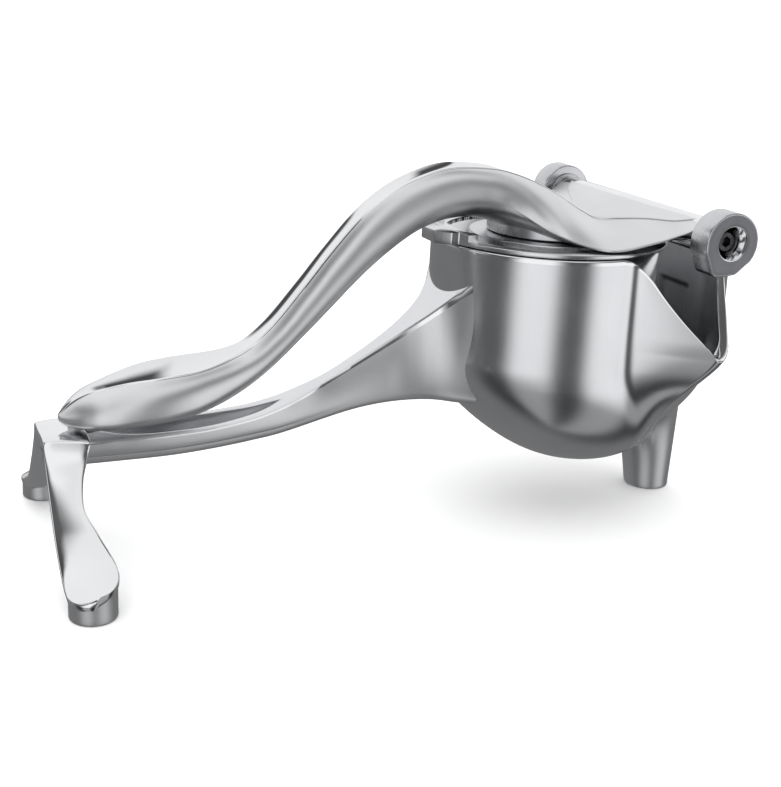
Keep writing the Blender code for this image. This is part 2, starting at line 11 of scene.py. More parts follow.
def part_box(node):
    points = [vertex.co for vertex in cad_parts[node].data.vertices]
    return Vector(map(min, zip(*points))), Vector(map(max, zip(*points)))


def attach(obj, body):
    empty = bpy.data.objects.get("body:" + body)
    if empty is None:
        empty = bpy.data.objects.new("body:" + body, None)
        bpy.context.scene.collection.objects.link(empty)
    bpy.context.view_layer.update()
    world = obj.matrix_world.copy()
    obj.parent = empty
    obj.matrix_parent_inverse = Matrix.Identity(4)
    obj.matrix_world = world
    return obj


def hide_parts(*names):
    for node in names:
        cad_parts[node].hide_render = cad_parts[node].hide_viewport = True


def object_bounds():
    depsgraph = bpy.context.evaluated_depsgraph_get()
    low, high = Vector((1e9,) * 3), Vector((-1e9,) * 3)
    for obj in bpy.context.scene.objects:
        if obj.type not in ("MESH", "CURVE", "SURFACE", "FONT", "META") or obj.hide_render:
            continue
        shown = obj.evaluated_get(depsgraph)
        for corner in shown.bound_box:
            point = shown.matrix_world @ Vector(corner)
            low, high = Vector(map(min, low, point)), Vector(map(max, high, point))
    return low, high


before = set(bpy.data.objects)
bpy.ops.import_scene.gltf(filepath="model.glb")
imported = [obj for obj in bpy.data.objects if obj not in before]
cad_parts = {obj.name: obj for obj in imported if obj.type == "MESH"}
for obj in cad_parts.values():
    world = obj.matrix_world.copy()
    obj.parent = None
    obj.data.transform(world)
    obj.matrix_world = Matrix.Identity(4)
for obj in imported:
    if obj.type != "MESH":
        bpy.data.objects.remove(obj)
cadLow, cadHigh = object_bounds()
mm = 0.001
gap = 0.3                                   # between pieces that touch
nearlyStraight, sideShare = 0.03, 0.48      # corners left alone, and the share of a side that an arc may take
rodLow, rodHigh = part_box("pivot_rod")
hingeX = (rodLow.x + rodHigh.x) / 2 / mm
hingeZ = (rodLow.z + rodHigh.z) / 2 / mm
print("frame loaded:", len(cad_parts), "nodes, hinge at", round(hingeX, 1), round(hingeZ, 1))


# ---- small helpers on arrays
def smoothStep(t):
    t = np.clip(t, 0, 1)
    return t * t * (3 - 2 * t)


def smoothMax(a, b, blend):
    h = np.maximum(blend - np.abs(a - b), 0) / blend
    return np.maximum(a, b) + h * h * blend / 4


def mix(a, b, t):
    return a + (b - a) * t


def fullTurn(count):
    return np.linspace(0, 2 * np.pi, count, endpoint=False)


# A row of numbers for each x: every column of the table runs through its stations on cubic pieces,
# whose slope at a station is the weighted mean of the slopes on its two sides.
def throughStations(x, stations):
    table = np.array(stations, float)
    knots, values = table[:, 0], table[:, 1:]
    gaps = np.diff(knots)
    rise = np.diff(values, axis=0) / gaps[:, None]
    inner = rise[:-1] * gaps[1:, None] + rise[1:] * gaps[:-1, None]
    inner /= (gaps[:-1] + gaps[1:])[:, None]
    slope = np.vstack([rise[:1], inner, rise[-1:]])
    i = np.clip(np.searchsorted(knots, x, side="right") - 1, 0, len(gaps) - 1)
    width = gaps[i][:, None]
    t = ((x - knots[i]) / gaps[i])[:, None]
    return ((2 * t**3 - 3 * t**2 + 1) * values[i] + (t**3 - 2 * t**2 + t) * width * slope[i]
            + (3 * t**2 - 2 * t**3) * values[i + 1] + (t**3 - t**2) * width * slope[i + 1])


# A path whose corners become arcs of the given radius, or less where a side is too short for it.
def roundedPath(points, radius, steps=6):
    points = np.array(points, float)
    out = [points[:1]]
    for before, corner, after in zip(points[:-2], points[1:-1], points[2:]):
        into, away = corner - before, after - corner
        sides = np.linalg.norm(into), np.linalg.norm(away)
        into, away = into / sides[0], away / sides[1]
        turn = np.arccos(np.clip(into @ away, -1, 1))
        if turn < nearlyStraight:
            out.append(corner[None])
            continue
        setback = min(radius * np.tan(turn / 2), sideShare * min(sides))
        inward = (away - into) / np.linalg.norm(away - into)
        centre = corner + inward * setback / np.tan(turn / 2) / np.cos(turn / 2)
        start, end = corner - into * setback - centre, corner + away * setback - centre
        t = np.linspace(0, 1, steps)[:, None]
        out.append(centre + (np.sin((1 - t) * turn) * start + np.sin(t * turn) * end) / np.sin(turn))
    return np.vstack(out + [points[-1:]])


# Four-point curve from start to end, pulled towards two handles; each argument is a (rows, 1) array.
def bezier(start, handleA, handleB, end, count):
    t = np.linspace(0, 1, count)[None, :]
    return ((1 - t)**3 * start + 3 * (1 - t)**2 * t * handleA + 3 * (1 - t) * t**2 * handleB + t**3 * end)


# ---- materials
# Adds a node: settings are its own properties, and an input takes a number, a colour or another node's output.
def addNode(tree, kind, inputs, output=0, **settings):
    node = tree.nodes.new("ShaderNode" + kind)
    for key, value in settings.items():
        setattr(node, key, value)
    for key, value in inputs.items():
        if isinstance(value, bpy.types.NodeSocket):
            tree.links.new(value, node.inputs[key])
        else:
            node.inputs[key].default_value = value
    return node.outputs[output]


def ramp(tree, value, start, end, low=0.0, high=1.0, kind="LINEAR"):
    limits = {"From Min": start, "From Max": end, "To Min": low, "To Max": high}
    return addNode(tree, "MapRange", {"Value": value, **limits}, "Result", interpolation_type=kind)


def newPaint(name):
    material = bpy.data.materials.new(name)
    material.use_nodes = True
    return material, material.node_tree, material.node_tree.nodes["Principled BSDF"]


finishes = {
    # colour, darker colour in patches, roughness from and to, patch size, grain size and depth in mm
    "polishedAluminium": ((0.86, 0.865, 0.87), (0.80, 0.805, 0.815), (0.045, 0.10), 30, 0.9, 0.0025),
    "satinAluminium": ((0.78, 0.785, 0.795), (0.71, 0.715, 0.73), (0.17, 0.26), 24, 0.5, 0.004),
    "matteAluminium": ((0.84, 0.845, 0.85), (0.77, 0.775, 0.785), (0.36, 0.46), 24, 0.5, 0.004),
    # inside of the cup: a rougher satin, and a darker colour that is painted shade inside the cup
    "innerAluminium": ((0.64, 0.65, 0.665), (0.54, 0.55, 0.57), (0.28, 0.40), 18, 0.45, 0.010),
    # the ears' flat outer faces: near black, painted shade on the face
    "groundAluminium": ((0.24, 0.245, 0.255), (0.18, 0.185, 0.195), (0.34, 0.46), 9, 0.35, 0.008),
    "footAluminium": ((0.78, 0.785, 0.79), (0.70, 0.705, 0.71), (0.42, 0.52), 8, 0.3, 0.005),
    "strainerAluminium": ((0.74, 0.745, 0.75), (0.64, 0.645, 0.655), (0.16, 0.28), 12, 0.4, 0.005),
    # a darker copy of the metal: painted shade on the ears' sides, the press head and the lever's neck under the
    # plate
    "headAluminium": ((0.66, 0.665, 0.675), (0.55, 0.555, 0.57), (0.20, 0.32), 14, 0.4, 0.006),
    "screwSteel": ((0.10, 0.10, 0.105), (0.05, 0.05, 0.055), (0.25, 0.42), 2, 0.2, 0.004),
    "rodSteel": ((0.72, 0.72, 0.72), (0.60, 0.60, 0.61), (0.10, 0.22), 6, 0.3, 0.003),
    "washerSteel": ((0.62, 0.62, 0.63), (0.46, 0.46, 0.47), (0.22, 0.36), 3, 0.25, 0.006),
}


metalNoise = {
    # detail of the patches, strokes and grain, and the size of the strokes, squeezed so that they run along z
    "patchDetail": 3, "strokeDetail": 2, "grainDetail": 4, "strokeSize": 0.6, "strokeScale": (1.0, 1.0, 0.08),
    # share of the strokes in roughness and height, and the noise values between which each look changes
    "strokeShare": 0.5, "tintRange": (0.3, 0.7), "patchRange": (0.2, 0.8), "roughRange": (0.15, 0.85),
}


# Metal whose colour and roughness drift in soft patches, under a fine grain and long faint polishing lines.
def makeMetal(name):
    colour, shade, roughness, patch, grain, depth = finishes[name]
    material, tree, shader = newPaint(name)
    shader.inputs["Metallic"].default_value = 1.0
    place = addNode(tree, "TexCoord", {}, "Object")

    def noise(size, detail, source=place):
        return addNode(tree, "TexNoise", {"Scale": 1 / (size * mm), "Detail": detail, "Vector": source}, "Fac")

    def addStrokes(strokes, base):
        return addNode(tree, "Math", {0: strokes, 1: metalNoise["strokeShare"], 2: base}, operation="MULTIPLY_ADD")

    patches = noise(patch, metalNoise["patchDetail"])
    tinting = ramp(tree, patches, *metalNoise["tintRange"])
    tint = addNode(tree, "Mix", {"A": (*shade, 1), "B": (*colour, 1), "Factor": tinting}, "Result", data_type="RGBA")
    tree.links.new(tint, shader.inputs["Base Color"])
    stretched = addNode(tree, "Mapping", {"Scale": metalNoise["strokeScale"], "Vector": place})
    strokes = noise(metalNoise["strokeSize"], metalNoise["strokeDetail"], stretched)
    rough = addStrokes(strokes, ramp(tree, patches, *metalNoise["patchRange"], 0, 1 - metalNoise["strokeShare"]))
    tree.links.new(ramp(tree, rough, *metalNoise["roughRange"], *roughness), shader.inputs["Roughness"])
    height = addStrokes(strokes, noise(grain, metalNoise["grainDetail"]))
    bump = addNode(tree, "Bump", {"Distance": depth * mm, "Strength": 1.0, "Height": height}, "Normal")
    tree.links.new(bump, shader.inputs["Normal"])
    return material


metals = {name: makeMetal(name) for name in finishes}
print("materials made:", len(metals))


# ---- meshes
# Mesh and object from points in millimetres: faces turn outward, points without a face are dropped.
def linkPiece(name, verts, faces, finishNames, slots=None, sharp=None):
    mesh = bpy.data.meshes.new(name)
    mesh.from_pydata((verts * mm).tolist(), [], faces)
    for finish in finishNames:
        mesh.materials.append(metals[finish])
    if slots is not None:
        mesh.polygons.foreach_set("material_index", slots)
    work = bmesh.new()
    work.from_mesh(mesh)
    bmesh.ops.delete(work, geom=[v for v in work.verts if not v.link_faces], context="VERTS")
    bmesh.ops.recalc_face_normals(work, faces=work.faces)
    work.to_mesh(mesh)
    work.free()
    mesh.shade_smooth()
    if sharp is not None:
        mesh.set_sharp_from_angle(angle=math.radians(sharp))
    piece = bpy.data.objects.new(name, mesh)
    bpy.context.scene.collection.objects.link(piece)
    return piece


# Rows of points joined into quads. Each row closes on itself; "ring" closes the last row to the first,
# otherwise both ends get a fan to their middle. bands lists (first row, finish), or first column with byColumn.
def gridPiece(name, points, bands, ring=False, sharp=32, byColumn=False):
    rows, columns = points.shape[:2]
    verts = points.reshape(-1, 3)
    last = rows if ring else rows - 1
    r, c = np.meshgrid(np.arange(last), np.arange(columns), indexing="ij")
    down, right = (r + 1) % rows, (c + 1) % columns
    corners = [r * columns + c, r * columns + right, down * columns + right, down * columns + c]
    faces = np.stack(corners, -1).reshape(-1, 4).tolist()
    rowOf = (c if byColumn else r).reshape(-1)
    if not ring:
        middle = len(verts)
        verts = np.vstack([verts, points[0].mean(0), points[-1].mean(0)])
        step = np.arange(columns)
        after = (step + 1) % columns
        faces += np.stack([after, step, np.full(columns, middle)], -1).tolist()
        top = (rows - 1) * columns
        faces += np.stack([top + step, top + after, np.full(columns, middle + 1)], -1).tolist()
        rowOf = np.concatenate([rowOf] + ([step, step] if byColumn else [0 * step, 0 * step + rows - 1]))
    starts, finishNames = zip(*bands)
    return linkPiece(name, verts, faces, finishNames, np.searchsorted(starts, rowOf, side="right") - 1, sharp)


def settle(piece, body, slot, *nodes):
    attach(piece, body)
    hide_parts(*nodes)
    return piece


# A profile of (height, radius) turned about an upright axis.
def turnedZ(name, profile, x, y, bands, count=96, ring=False, sharp=32):
    profile = np.array(profile, float)
    angle = fullTurn(count)
    z, radius = profile[:, :1], profile[:, 1:]
    points = np.stack([x + radius * np.cos(angle), y + radius * np.sin(angle), z + 0 * angle], -1)
    return gridPiece(name, points, bands, ring, sharp)


# Points about the hinge's axis: y is a column, and reach a column or a row of its own for each y.
def aroundHinge(y, reach, angle):
    return np.stack([hingeX + reach * np.cos(angle), y + 0 * angle, hingeZ + reach * np.sin(angle)], -1)


# Like turnedZ, about the hinge's axis: a profile of (y, radius).
def turnedY(name, profile, bands, count=64, ring=False, sharp=32):
    profile = np.array(profile, float)
    angle = fullTurn(count)
    return gridPiece(name, aroundHinge(profile[:, :1], profile[:, 1:], angle), bands, ring, sharp)


# Half sections run from the middle of the top to the middle of the bottom; this adds their mirror image.
def bothSides(x, y, z):
    half = np.stack([x, y, z], -1)
    other = half[:, -2:0:-1] * [1, -1, 1]
    return np.concatenate([half, other], axis=1)


# ---- cup with its two beaks
cup = {
    "axisX": 57.5, "radius": 41.0, "wall": 2.8, "bottomZ": 17.5, "rimZ": 97.0, "rounding": 35.1,
    # seen from above: the rear wall, the beak's nose, and the groove where the beak's side meets the bowl
    "rearX": 115.0, "rearHalf": 18.0, "rearRounding": 40.0, "nose": (95.5, -59.3), "noseRadius": 3.6,
    "valleyAngle": math.radians(-76), "valleyBlend": 3.0, "sideOverrun": 0.25,
    # heights where the beak's reach starts and is complete, along its keel, the rear wall and the groove,
    # and the angles over which the keel's pair gives way to the other two
    "keel": (32.0, 71.0), "rear": (21.0, 56.0), "valley": (22.0, 72.0),
    "rearSpread": (math.radians(20), math.radians(46)), "valleySpread": (math.radians(58), math.radians(74)),
    # the lip: its height, where the rim's fall to it starts and ends, and the climb past the nose
    "lipZ": 66.0, "lipRounding": 0.8, "fallAfterValley": math.radians(2), "fallBeforeNose": 2.5, "fallBlend": 0.24,
    "climbAfterNose": math.radians(0.5), "climbSpan": math.radians(4.5),
    # how far the bottom lies towards the rear foot, and the beaks' lean above the lip
    "shift": 15.9, "shiftHeight": 42.0, "lean": 0.22, "leanFrom": 38, "leanSpan": 18,
    # shallow panel inside the rear wall
    "panelHalf": 9.0, "panelTop": 80.0, "panelBottom": 48.0, "panelDepth": 0.7, "panelEdge": 1.6, "panelFromX": 90,
    "outerCurveRows": 30, "innerCurveRows": 26, "wallRows": 56,
}


# Seen from above: half of the rear wall, the rounded nose of one beak and its side wall back into the bowl.
def beakOutline():
    angle, radius = cup["valleyAngle"], cup["radius"]
    valley = np.array([cup["axisX"] + radius * math.cos(angle), radius * math.sin(angle)])
    beyond = valley + (valley - cup["nose"]) * cup["sideOverrun"]
    corners = [(cup["rearX"], 0), (cup["rearX"], -cup["rearHalf"]), cup["nose"]]
    shoulder = roundedPath(corners, cup["rearRounding"], 14)[:-1]
    nose = roundedPath([shoulder[-1], cup["nose"], beyond], cup["noseRadius"], 26)[1:-1]
    rear = mix(shoulder[0], shoulder[1], np.linspace(0, 1, 10)[:-1, None])
    flat = mix(shoulder[-1], nose[0], np.linspace(0, 1, 34)[1:-1, None])
    side = mix(nose[-1], beyond, np.linspace(0, 1, 46)[1:, None])
    return np.vstack([rear, shoulder[1:], flat, nose, side])


outline = beakOutline()
outlineAngle = np.arctan2(outline[:, 1], outline[:, 0] - cup["axisX"])
outlineRadius = np.hypot(outline[:, 0] - cup["axisX"], outline[:, 1])


# Outer radius by angle: the larger of the round bowl and the beak, blended where they meet.
def cupReach(angles):
    beak = np.interp(-np.abs(angles), outlineAngle[::-1], outlineRadius[::-1], left=0.0)
    return smoothMax(np.full_like(angles, cup["radius"]), beak, cup["valleyBlend"])


# The line one wall thickness inside the outline, from the outline's own normals.
def innerReach(angles):
    fine = np.linspace(-np.pi, np.pi, 8001)[:-1]
    radius = cupReach(fine)
    x, y = radius * np.cos(fine), radius * np.sin(fine)
    dx, dy = np.roll(x, -1) - np.roll(x, 1), np.roll(y, -1) - np.roll(y, 1)
    length = np.hypot(dx, dy)
    innerX, innerY = x - cup["wall"] * dy / length, y + cup["wall"] * dx / length
    angle, reach = np.arctan2(innerY, innerX), np.hypot(innerX, innerY)
    order = np.argsort(angle)
    return np.interp(angles, angle[order], reach[order], period=2 * np.pi)


# How much of the beak's reach there is at a height: a smooth step from none on the bare bowl to all of it,
# between two heights that change with the angle. raised lifts both.
def beakShare(z, angles, raised):
    start, end = cup["rearSpread"]
    rearness = 1 - smoothStep((np.abs(angles) - start) / (end - start))
    start, end = cup["valleySpread"]
    grooved = smoothStep((np.abs(angles) - start) / (end - start))
    root, full = (mix(mix(keel, rear, rearness), valley, grooved)
                  for keel, rear, valley in zip(cup["keel"], cup["rear"], cup["valley"]))
    return smoothStep((z - root - raised) / (full - root))


# The rim is level round the bowl, falls along a beak's side wall to its lip and climbs again past the nose.
def lipHeights(angles):
    wallStart = cup["valleyAngle"] + cup["fallAfterValley"]
    noseAngle = math.atan2(cup["nose"][1], cup["nose"][0] - cup["axisX"])
    position = -np.abs(angles)
    along = cupReach(angles) * np.cos(position)
    start = cup["radius"] * math.cos(wallStart)
    end = cup["nose"][0] - cup["axisX"] - cup["fallBeforeNose"]
    fall = smoothMax(np.minimum((along - start) / (end - start), 1), 0 * along, cup["fallBlend"])
    climb = smoothStep((position - noseAngle - cup["climbAfterNose"]) / cup["climbSpan"])
    falling, climbing = mix(cup["rimZ"], cup["lipZ"], fall), mix(cup["lipZ"], cup["rimZ"], climb)
    return np.minimum(np.where(position < noseAngle, falling, climbing), cup["rimZ"])


# How far the bowl's middle lies towards the rear foot at a height.
def bowlDrift(z):
    return cup["shift"] * (1 - smoothStep((z - cup["bottomZ"]) / cup["shiftHeight"]))


# Rows of (radius, height) turned into points; the beaks lean in above their lips.
def cupPoints(ring, z, angles):
    points = np.stack([cup["axisX"] + bowlDrift(z) + ring * np.cos(angles), ring * np.sin(angles), z], -1)
    sideways = smoothStep((np.abs(points[..., 1]) - cup["leanFrom"]) / cup["leanSpan"])
    points[..., 0] -= cup["lean"] * np.maximum(z - cup["lipZ"], 0) * sideways
    return points


# One wall of the cup from the bottom up to topZ, which changes with the angle: a quarter of a circle
# and then a straight part, both pushed out by the beak's share.
def cupWall(angles, reach, radius, bottomZ, topZ, raised, curveRows):
    theta = np.linspace(0, np.pi / 2, curveRows)[:, None]
    z = np.broadcast_to(bottomZ + cup["rounding"] * (1 - np.cos(theta)), (curveRows, len(angles)))
    bowl = radius - cup["rounding"] + cup["rounding"] * np.sin(theta)
    curve = bowl + beakShare(z, angles, raised) * (reach - radius)
    t = np.linspace(0, 1, cup["wallRows"])[1:, None]
    wallZ = mix(bottomZ + cup["rounding"], topZ[None], t)
    wall = radius + beakShare(wallZ, angles, raised) * (reach - radius)
    return np.vstack([curve, wall]), np.vstack([z, wallZ])


# One closed shell: up the outside, over the lip in two quarter circles, and down the inside.
def makeCup():
    plainBowl = np.linspace(outlineAngle[-1], -np.pi, 96)[1:-1]
    half = np.concatenate([outlineAngle[1:], plainBowl])
    angles = np.concatenate([[0.0], half, [-np.pi], -half[::-1]])
    lip, wall, edge = lipHeights(angles), cup["wall"], cup["lipRounding"]
    outerRing, outerZ = cupWall(angles, cupReach(angles), cup["radius"], cup["bottomZ"], lip - edge, 0,
                                cup["outerCurveRows"])
    innerRing, innerZ = cupWall(angles, innerReach(angles), cup["radius"] - wall, cup["bottomZ"] + wall, lip - edge,
                                wall, cup["innerCurveRows"])
    # shares of the wall's thickness over the lip
    quarter = np.linspace(0, np.pi / 2, 6)[1:]
    share = np.concatenate([edge / wall * (1 - np.cos(quarter)), 1 - edge / wall * (1 - np.cos(quarter[::-1]))])
    rise = np.concatenate([edge * np.sin(quarter), edge * np.sin(quarter[::-1])])
    lipRing = mix(outerRing[-1][None], innerRing[-1][None], share[:, None])
    lipZ = (lip - edge)[None] + rise[:, None]
    ring = np.vstack([outerRing, lipRing, innerRing[::-1]])
    z = np.vstack([outerZ, lipZ, innerZ[::-1]])
    points = cupPoints(ring, z, angles)
    inside = np.arange(len(z)) >= len(outerZ) + len(share)
    y, height = np.abs(points[..., 1]), points[..., 2]
    fromEdge = cup["panelHalf"] - y, cup["panelTop"] - height, height - cup["panelBottom"]
    panel = math.prod(smoothStep(distance / cup["panelEdge"]) for distance in fromEdge)
    points[..., 0] += cup["panelDepth"] * panel * inside[:, None] * (points[..., 0] > cup["panelFromX"])
    # the cup's inside takes the inner metal: real rougher satin, with painted shade in its darker colour
    bands = [(0, "satinAluminium"), (len(outerZ) - 2, "polishedAluminium"),
             (len(outerZ) + len(share) + 2, "innerAluminium")]
    piece = gridPiece("cupShell", points, bands)
    return settle(piece, "body", "satin_aluminium", "body_casting"), points[:len(outerZ)]


cupShell, cupOutside = makeCup()
print("cup made:", len(cupShell.data.polygons), "faces")


undersideTop = 60                           # the cup's wall below this height counts as its underside


# Height of the cup's underside above points of the plan, from the nearest point of its outer wall.
def undersideZ(x, y):
    low = cupOutside[cupOutside[..., 2] < undersideTop].reshape(-1, 3)
    distance = (low[None, :, 0] - x[:, None])**2 + (low[None, :, 1] - y[:, None])**2
    return low[np.argmin(distance, axis=1), 2]


# ---- lower handle
lowerHandle = {
    # x, top, half width of the top, half width and depth of the thumb trough, waist, bottom half width, bottom
    "stations": [
        (-113, 39.3, 9.6, 0.6, 0.0, 10.0, 8.6, 30.8), (-98, 39.4, 9.6, 1.0, 0.3, 10.0, 8.5, 30.8),
        (-94, 39.4, 9.5, 4.5, 2.2, 10.0, 8.4, 30.8), (-86, 39.4, 9.4, 7.0, 3.9, 9.9, 8.2, 30.8),
        (-76, 39.6, 8.9, 7.2, 4.4, 9.5, 8.0, 31.0), (-66, 40.0, 8.3, 6.6, 4.4, 8.9, 7.4, 31.5),
        (-56, 41.1, 7.4, 5.3, 3.6, 8.0, 6.7, 32.3), (-48, 42.4, 6.4, 3.6, 2.3, 7.3, 6.2, 33.2),
        (-42, 44.0, 5.6, 2.0, 1.0, 6.8, 5.9, 34.0), (-38, 45.3, 5.0, 0.8, 0.1, 6.5, 5.7, 34.8),
        (-34, 46.9, 4.5, 0.6, 0.0, 6.2, 5.5, 35.7), (-24, 51.6, 2.9, 0.6, 0.0, 6.0, 5.4, 38.3),
        (-14, 57.3, 2.8, 0.6, 0.0, 6.1, 5.6, 40.7),
        (-4, 63.4, 3.6, 0.6, 0.0, 6.7, 6.3, 42.3),
        (4, 68.8, 5.0, 0.6, 0.0, 7.6, 7.4, 43.0), (10, 73.4, 7.0, 0.6, 0.0, 9.8, 8.8, 43.2),
        (14, 77.2, 9.2, 0.6, 0.0, 12.2, 10.2, 43.2), (17, 80.8, 12.0, 0.6, 0.0, 14.8, 11.6, 43.0),
        (20, 85.0, 16.4, 0.6, 0.0, 18.2, 13.4, 42.8), (22.4, 87.4, 19.0, 0.6, 0.0, 21.2, 15.0, 42.8),
        (25, 88.4, 20.0, 0.6, 0.0, 24.5, 17.0, 42.8),
    ],
    "rows": 240, "bevel": 0.55, "bottomRounding": 3.0, "troughColumns": 14, "rimColumns": 4,
    # the flank's two pull points: share of the way out, and shares of the way down
    "flankOut": 0.75, "flankDown": (0.35, 0.62), "pressed": 0.02,
}


# Section: a trough shaped like a squared cosine, a flat rim, a narrow bevel, a flank that swells to the waist,
# and a rounded bottom edge. The last rows press against the middle of the cup's wall.
def makeLowerHandle():
    x = np.linspace(lowerHandle["stations"][0][0], lowerHandle["stations"][-1][0], lowerHandle["rows"])
    stations = throughStations(x, lowerHandle["stations"])
    top, rim, trough, depth, waist, foot, bottom = (stations[:, i:i + 1] for i in range(7))
    bevel, turn = lowerHandle["bevel"], lowerHandle["bottomRounding"]
    q = np.linspace(0, 1, lowerHandle["troughColumns"])[None]
    y = [trough * q]
    z = [top - depth * np.cos(q * np.pi / 2)**2]
    q = np.linspace(0, 1, lowerHandle["rimColumns"] + 1)[None, 1:]
    y += [mix(trough, rim, q), rim + bevel + 0 * top]
    z += [top + 0 * q, top - bevel]
    high, low = (mix(top, bottom, share) for share in lowerHandle["flankDown"])
    y += [bezier(rim + bevel, mix(rim + bevel, waist, lowerHandle["flankOut"]), waist, foot, 20)[:, 1:]]
    z += [bezier(top - bevel, high, low, bottom + turn, 20)[:, 1:]]
    q = np.linspace(0, np.pi / 2, 9)[None, 1:]
    y += [foot - turn * (1 - np.cos(q)), (foot - turn) * 0.5, 0 * foot]
    z += [bottom + turn * (1 - np.sin(q)), bottom, bottom]
    y, z = np.hstack(y), np.hstack(z)
    x = x[:, None] + 0 * y
    drop = np.clip((z - cup["bottomZ"]) / cup["rounding"], 0, 1)
    bowl = cup["radius"] - cup["rounding"] * (1 - np.sqrt(1 - (1 - drop)**2)) - cup["wall"] / 2
    stop = cup["axisX"] + bowlDrift(z) - np.sqrt(np.maximum(bowl**2 - y**2, 1))
    x = np.where(x > stop, stop + lowerHandle["pressed"] * (x - stop), x)
    points = bothSides(x, y, z)
    near = lowerHandle["troughColumns"] + lowerHandle["rimColumns"] - 1      # the column of the bevel on each side
    far = points.shape[1] - near - 2
    bands = [(0, "satinAluminium"), (near, "polishedAluminium"), (near + 1, "matteAluminium"),
             (far, "polishedAluminium"), (far + 1, "satinAluminium")]
    piece = gridPiece("lowerHandle", points, bands, sharp=24, byColumn=True)
    return settle(piece, "body", "satin_aluminium", "body_casting")


makeLowerHandle()
print("lower handle made")


# ---- front arch: crossbar and two leaf-shaped legs in one sweep from foot to foot
frontArch = {
    # along, outer y and z, inner y and z, left edge, right edge, rise and reach of the right edge past the left one
    "stations": [
        (0.0, 0.0, 40.9, 0.0, 31.0, -117.5, -103.5, 0.0, 0.0),
        (0.14, 8.4, 40.9, 6.0, 31.0, -117.5, -103.5, 0.0, 1.2),
        (0.165, 9.8, 40.6, 7.2, 30.6, -117.5, -103.6, 0.0, 3.0),
        (0.20, 10.7, 37.8, 8.6, 29.0, -117.5, -104.6, 0.0, 3.6),
        (0.30, 15.4, 31.0, 12.6, 24.2, -117.5, -107.2, 0.2, 4.0),
        (0.40, 21.4, 24.0, 18.2, 18.4, -117.5, -108.2, 0.8, 4.2),
        (0.52, 28.6, 16.6, 25.4, 11.4, -117.5, -105.6, 2.8, 4.2),
        (0.66, 36.4, 11.2, 33.9, 6.6, -117.5, -103.4, 4.6, 3.6),
        (0.80, 43.4, 8.6, 42.4, 5.6, -117.5, -102.7, 5.8, 2.2),
        (0.90, 49.2, 7.6, 49.0, 5.2, -117.5, -102.7, 5.6, 0.8),
        (1.0, 55.6, 6.8, 55.4, 5.0, -117.5, -102.7, 3.2, 0.0),
    ],
    "rows": 150,
    # the face's crown, with the y where it starts and the width over which it grows, and how tight its edges are
    "crown": 0.3, "crownFrom": 10, "crownSpan": 8, "edgeTightness": 0.30, "edgeDepth": 0.12,
    # the belly's squareness on the leg and over the foot, and where along the sweep it changes
    "bellyLeg": 0.9, "bellyFoot": 0.25, "bellyFrom": 0.6, "bellySpan": 0.25,
    "footX": -110.1, "footY": 48.3, "footRadius": 7.4, "footInset": 0.3,
    "footTop": 8.6, "footSlope": 0.40, "footFall": 0.35,
}


# Section of a leg: a slightly crowned face with tight edges and a belly that is half an ellipse, squarer over the
# foot. Past the middle of the foot the width follows the foot's own circle.
def makeFrontArch():
    tightness, edge = frontArch["edgeTightness"], frontArch["edgeDepth"]
    half = np.linspace(0, 1, frontArch["rows"])
    s = np.concatenate([-half[:0:-1], half])
    stations = throughStations(np.abs(s), frontArch["stations"])
    outerY, outerZ, innerY, innerZ, left, right, rise, reach = (stations[:, i:i + 1] for i in range(8))
    toFoot = smoothStep((np.abs(s)[:, None] - frontArch["bellyFrom"]) / frontArch["bellySpan"])
    boxy = mix(frontArch["bellyLeg"], frontArch["bellyFoot"], toFoot)
    a = np.linspace(0, np.pi, 25)[None, :-1]
    c = np.cos(a)
    across = np.concatenate([0 * boxy - np.sign(c) * np.abs(c)**tightness, np.sign(c) * np.abs(c)**boxy], axis=1)
    depth = np.concatenate([0 * boxy + edge - edge * np.sin(a)**0.5,
                            edge + (1 - edge) * np.sin(a)**(2 * boxy / 1.9)], axis=1)
    past = np.clip((outerY - frontArch["footY"]) / frontArch["footRadius"], 0, 0.998)
    middle, width = (left + right) / 2, (right - left) / 2 * np.sqrt(1 - past**2)
    ahead = 0.5 + 0.5 * across
    x = middle + width * across
    y = mix(outerY, innerY, depth) + reach * ahead * (1 - 0.6 * depth)
    crown = frontArch["crown"] * across**2 * smoothStep((outerY - frontArch["crownFrom"]) / frontArch["crownSpan"])
    z = mix(outerZ + rise * ahead - crown, innerZ + 0.8 * rise * ahead, depth)
    points = np.stack([x, np.sign(s)[:, None] * y, z], -1)
    piece = gridPiece("frontArch", points, [(0, "polishedAluminium")], sharp=40)
    return settle(piece, "body", "polished_aluminium", "body_casting")


# A foot is a short round post whose top is a plane that stays a little under the leg.
def makeFeet():
    x, y, radius = frontArch["footX"], frontArch["footY"], frontArch["footRadius"] - frontArch["footInset"]
    angle = fullTurn(72)
    base = roundedPath([(0, 0), (0, radius), (2, radius)], 0.8)[1:]
    reach = np.concatenate([base[:, 1], [radius, radius * 0.5]])[:, None]
    px, py = x + reach * np.cos(angle), y + reach * np.sin(angle)
    top = frontArch["footTop"] + frontArch["footSlope"] * (px - x) + frontArch["footFall"] * (y - py)
    z = np.where(np.arange(len(reach))[:, None] < len(base), np.concatenate([base[:, :1], [[0], [0]]]), top)
    for name, side in (("footNear", -1), ("footFar", 1)):
        foot = gridPiece(name, np.stack([px, side * py, z], -1), [(0, "footAluminium")])
        settle(foot, "body", "satin_aluminium", "body_casting")


makeFrontArch()
makeFeet()
print("front legs made")


rearFoot = {
    "x": 109.5, "radius": 8.2, "rounding": 1.0, "lean": 0.08, "spread": 0.09, "flare": 4.5, "flareGrowth": 5,
    # the outline whose height under the cup is where the column ends: lean, growth, and how deep it goes in
    "topLean": 2.6, "topGrowth": 1.8, "topInset": 1.6, "sunk": 1.3, "inset": 0.2,
}


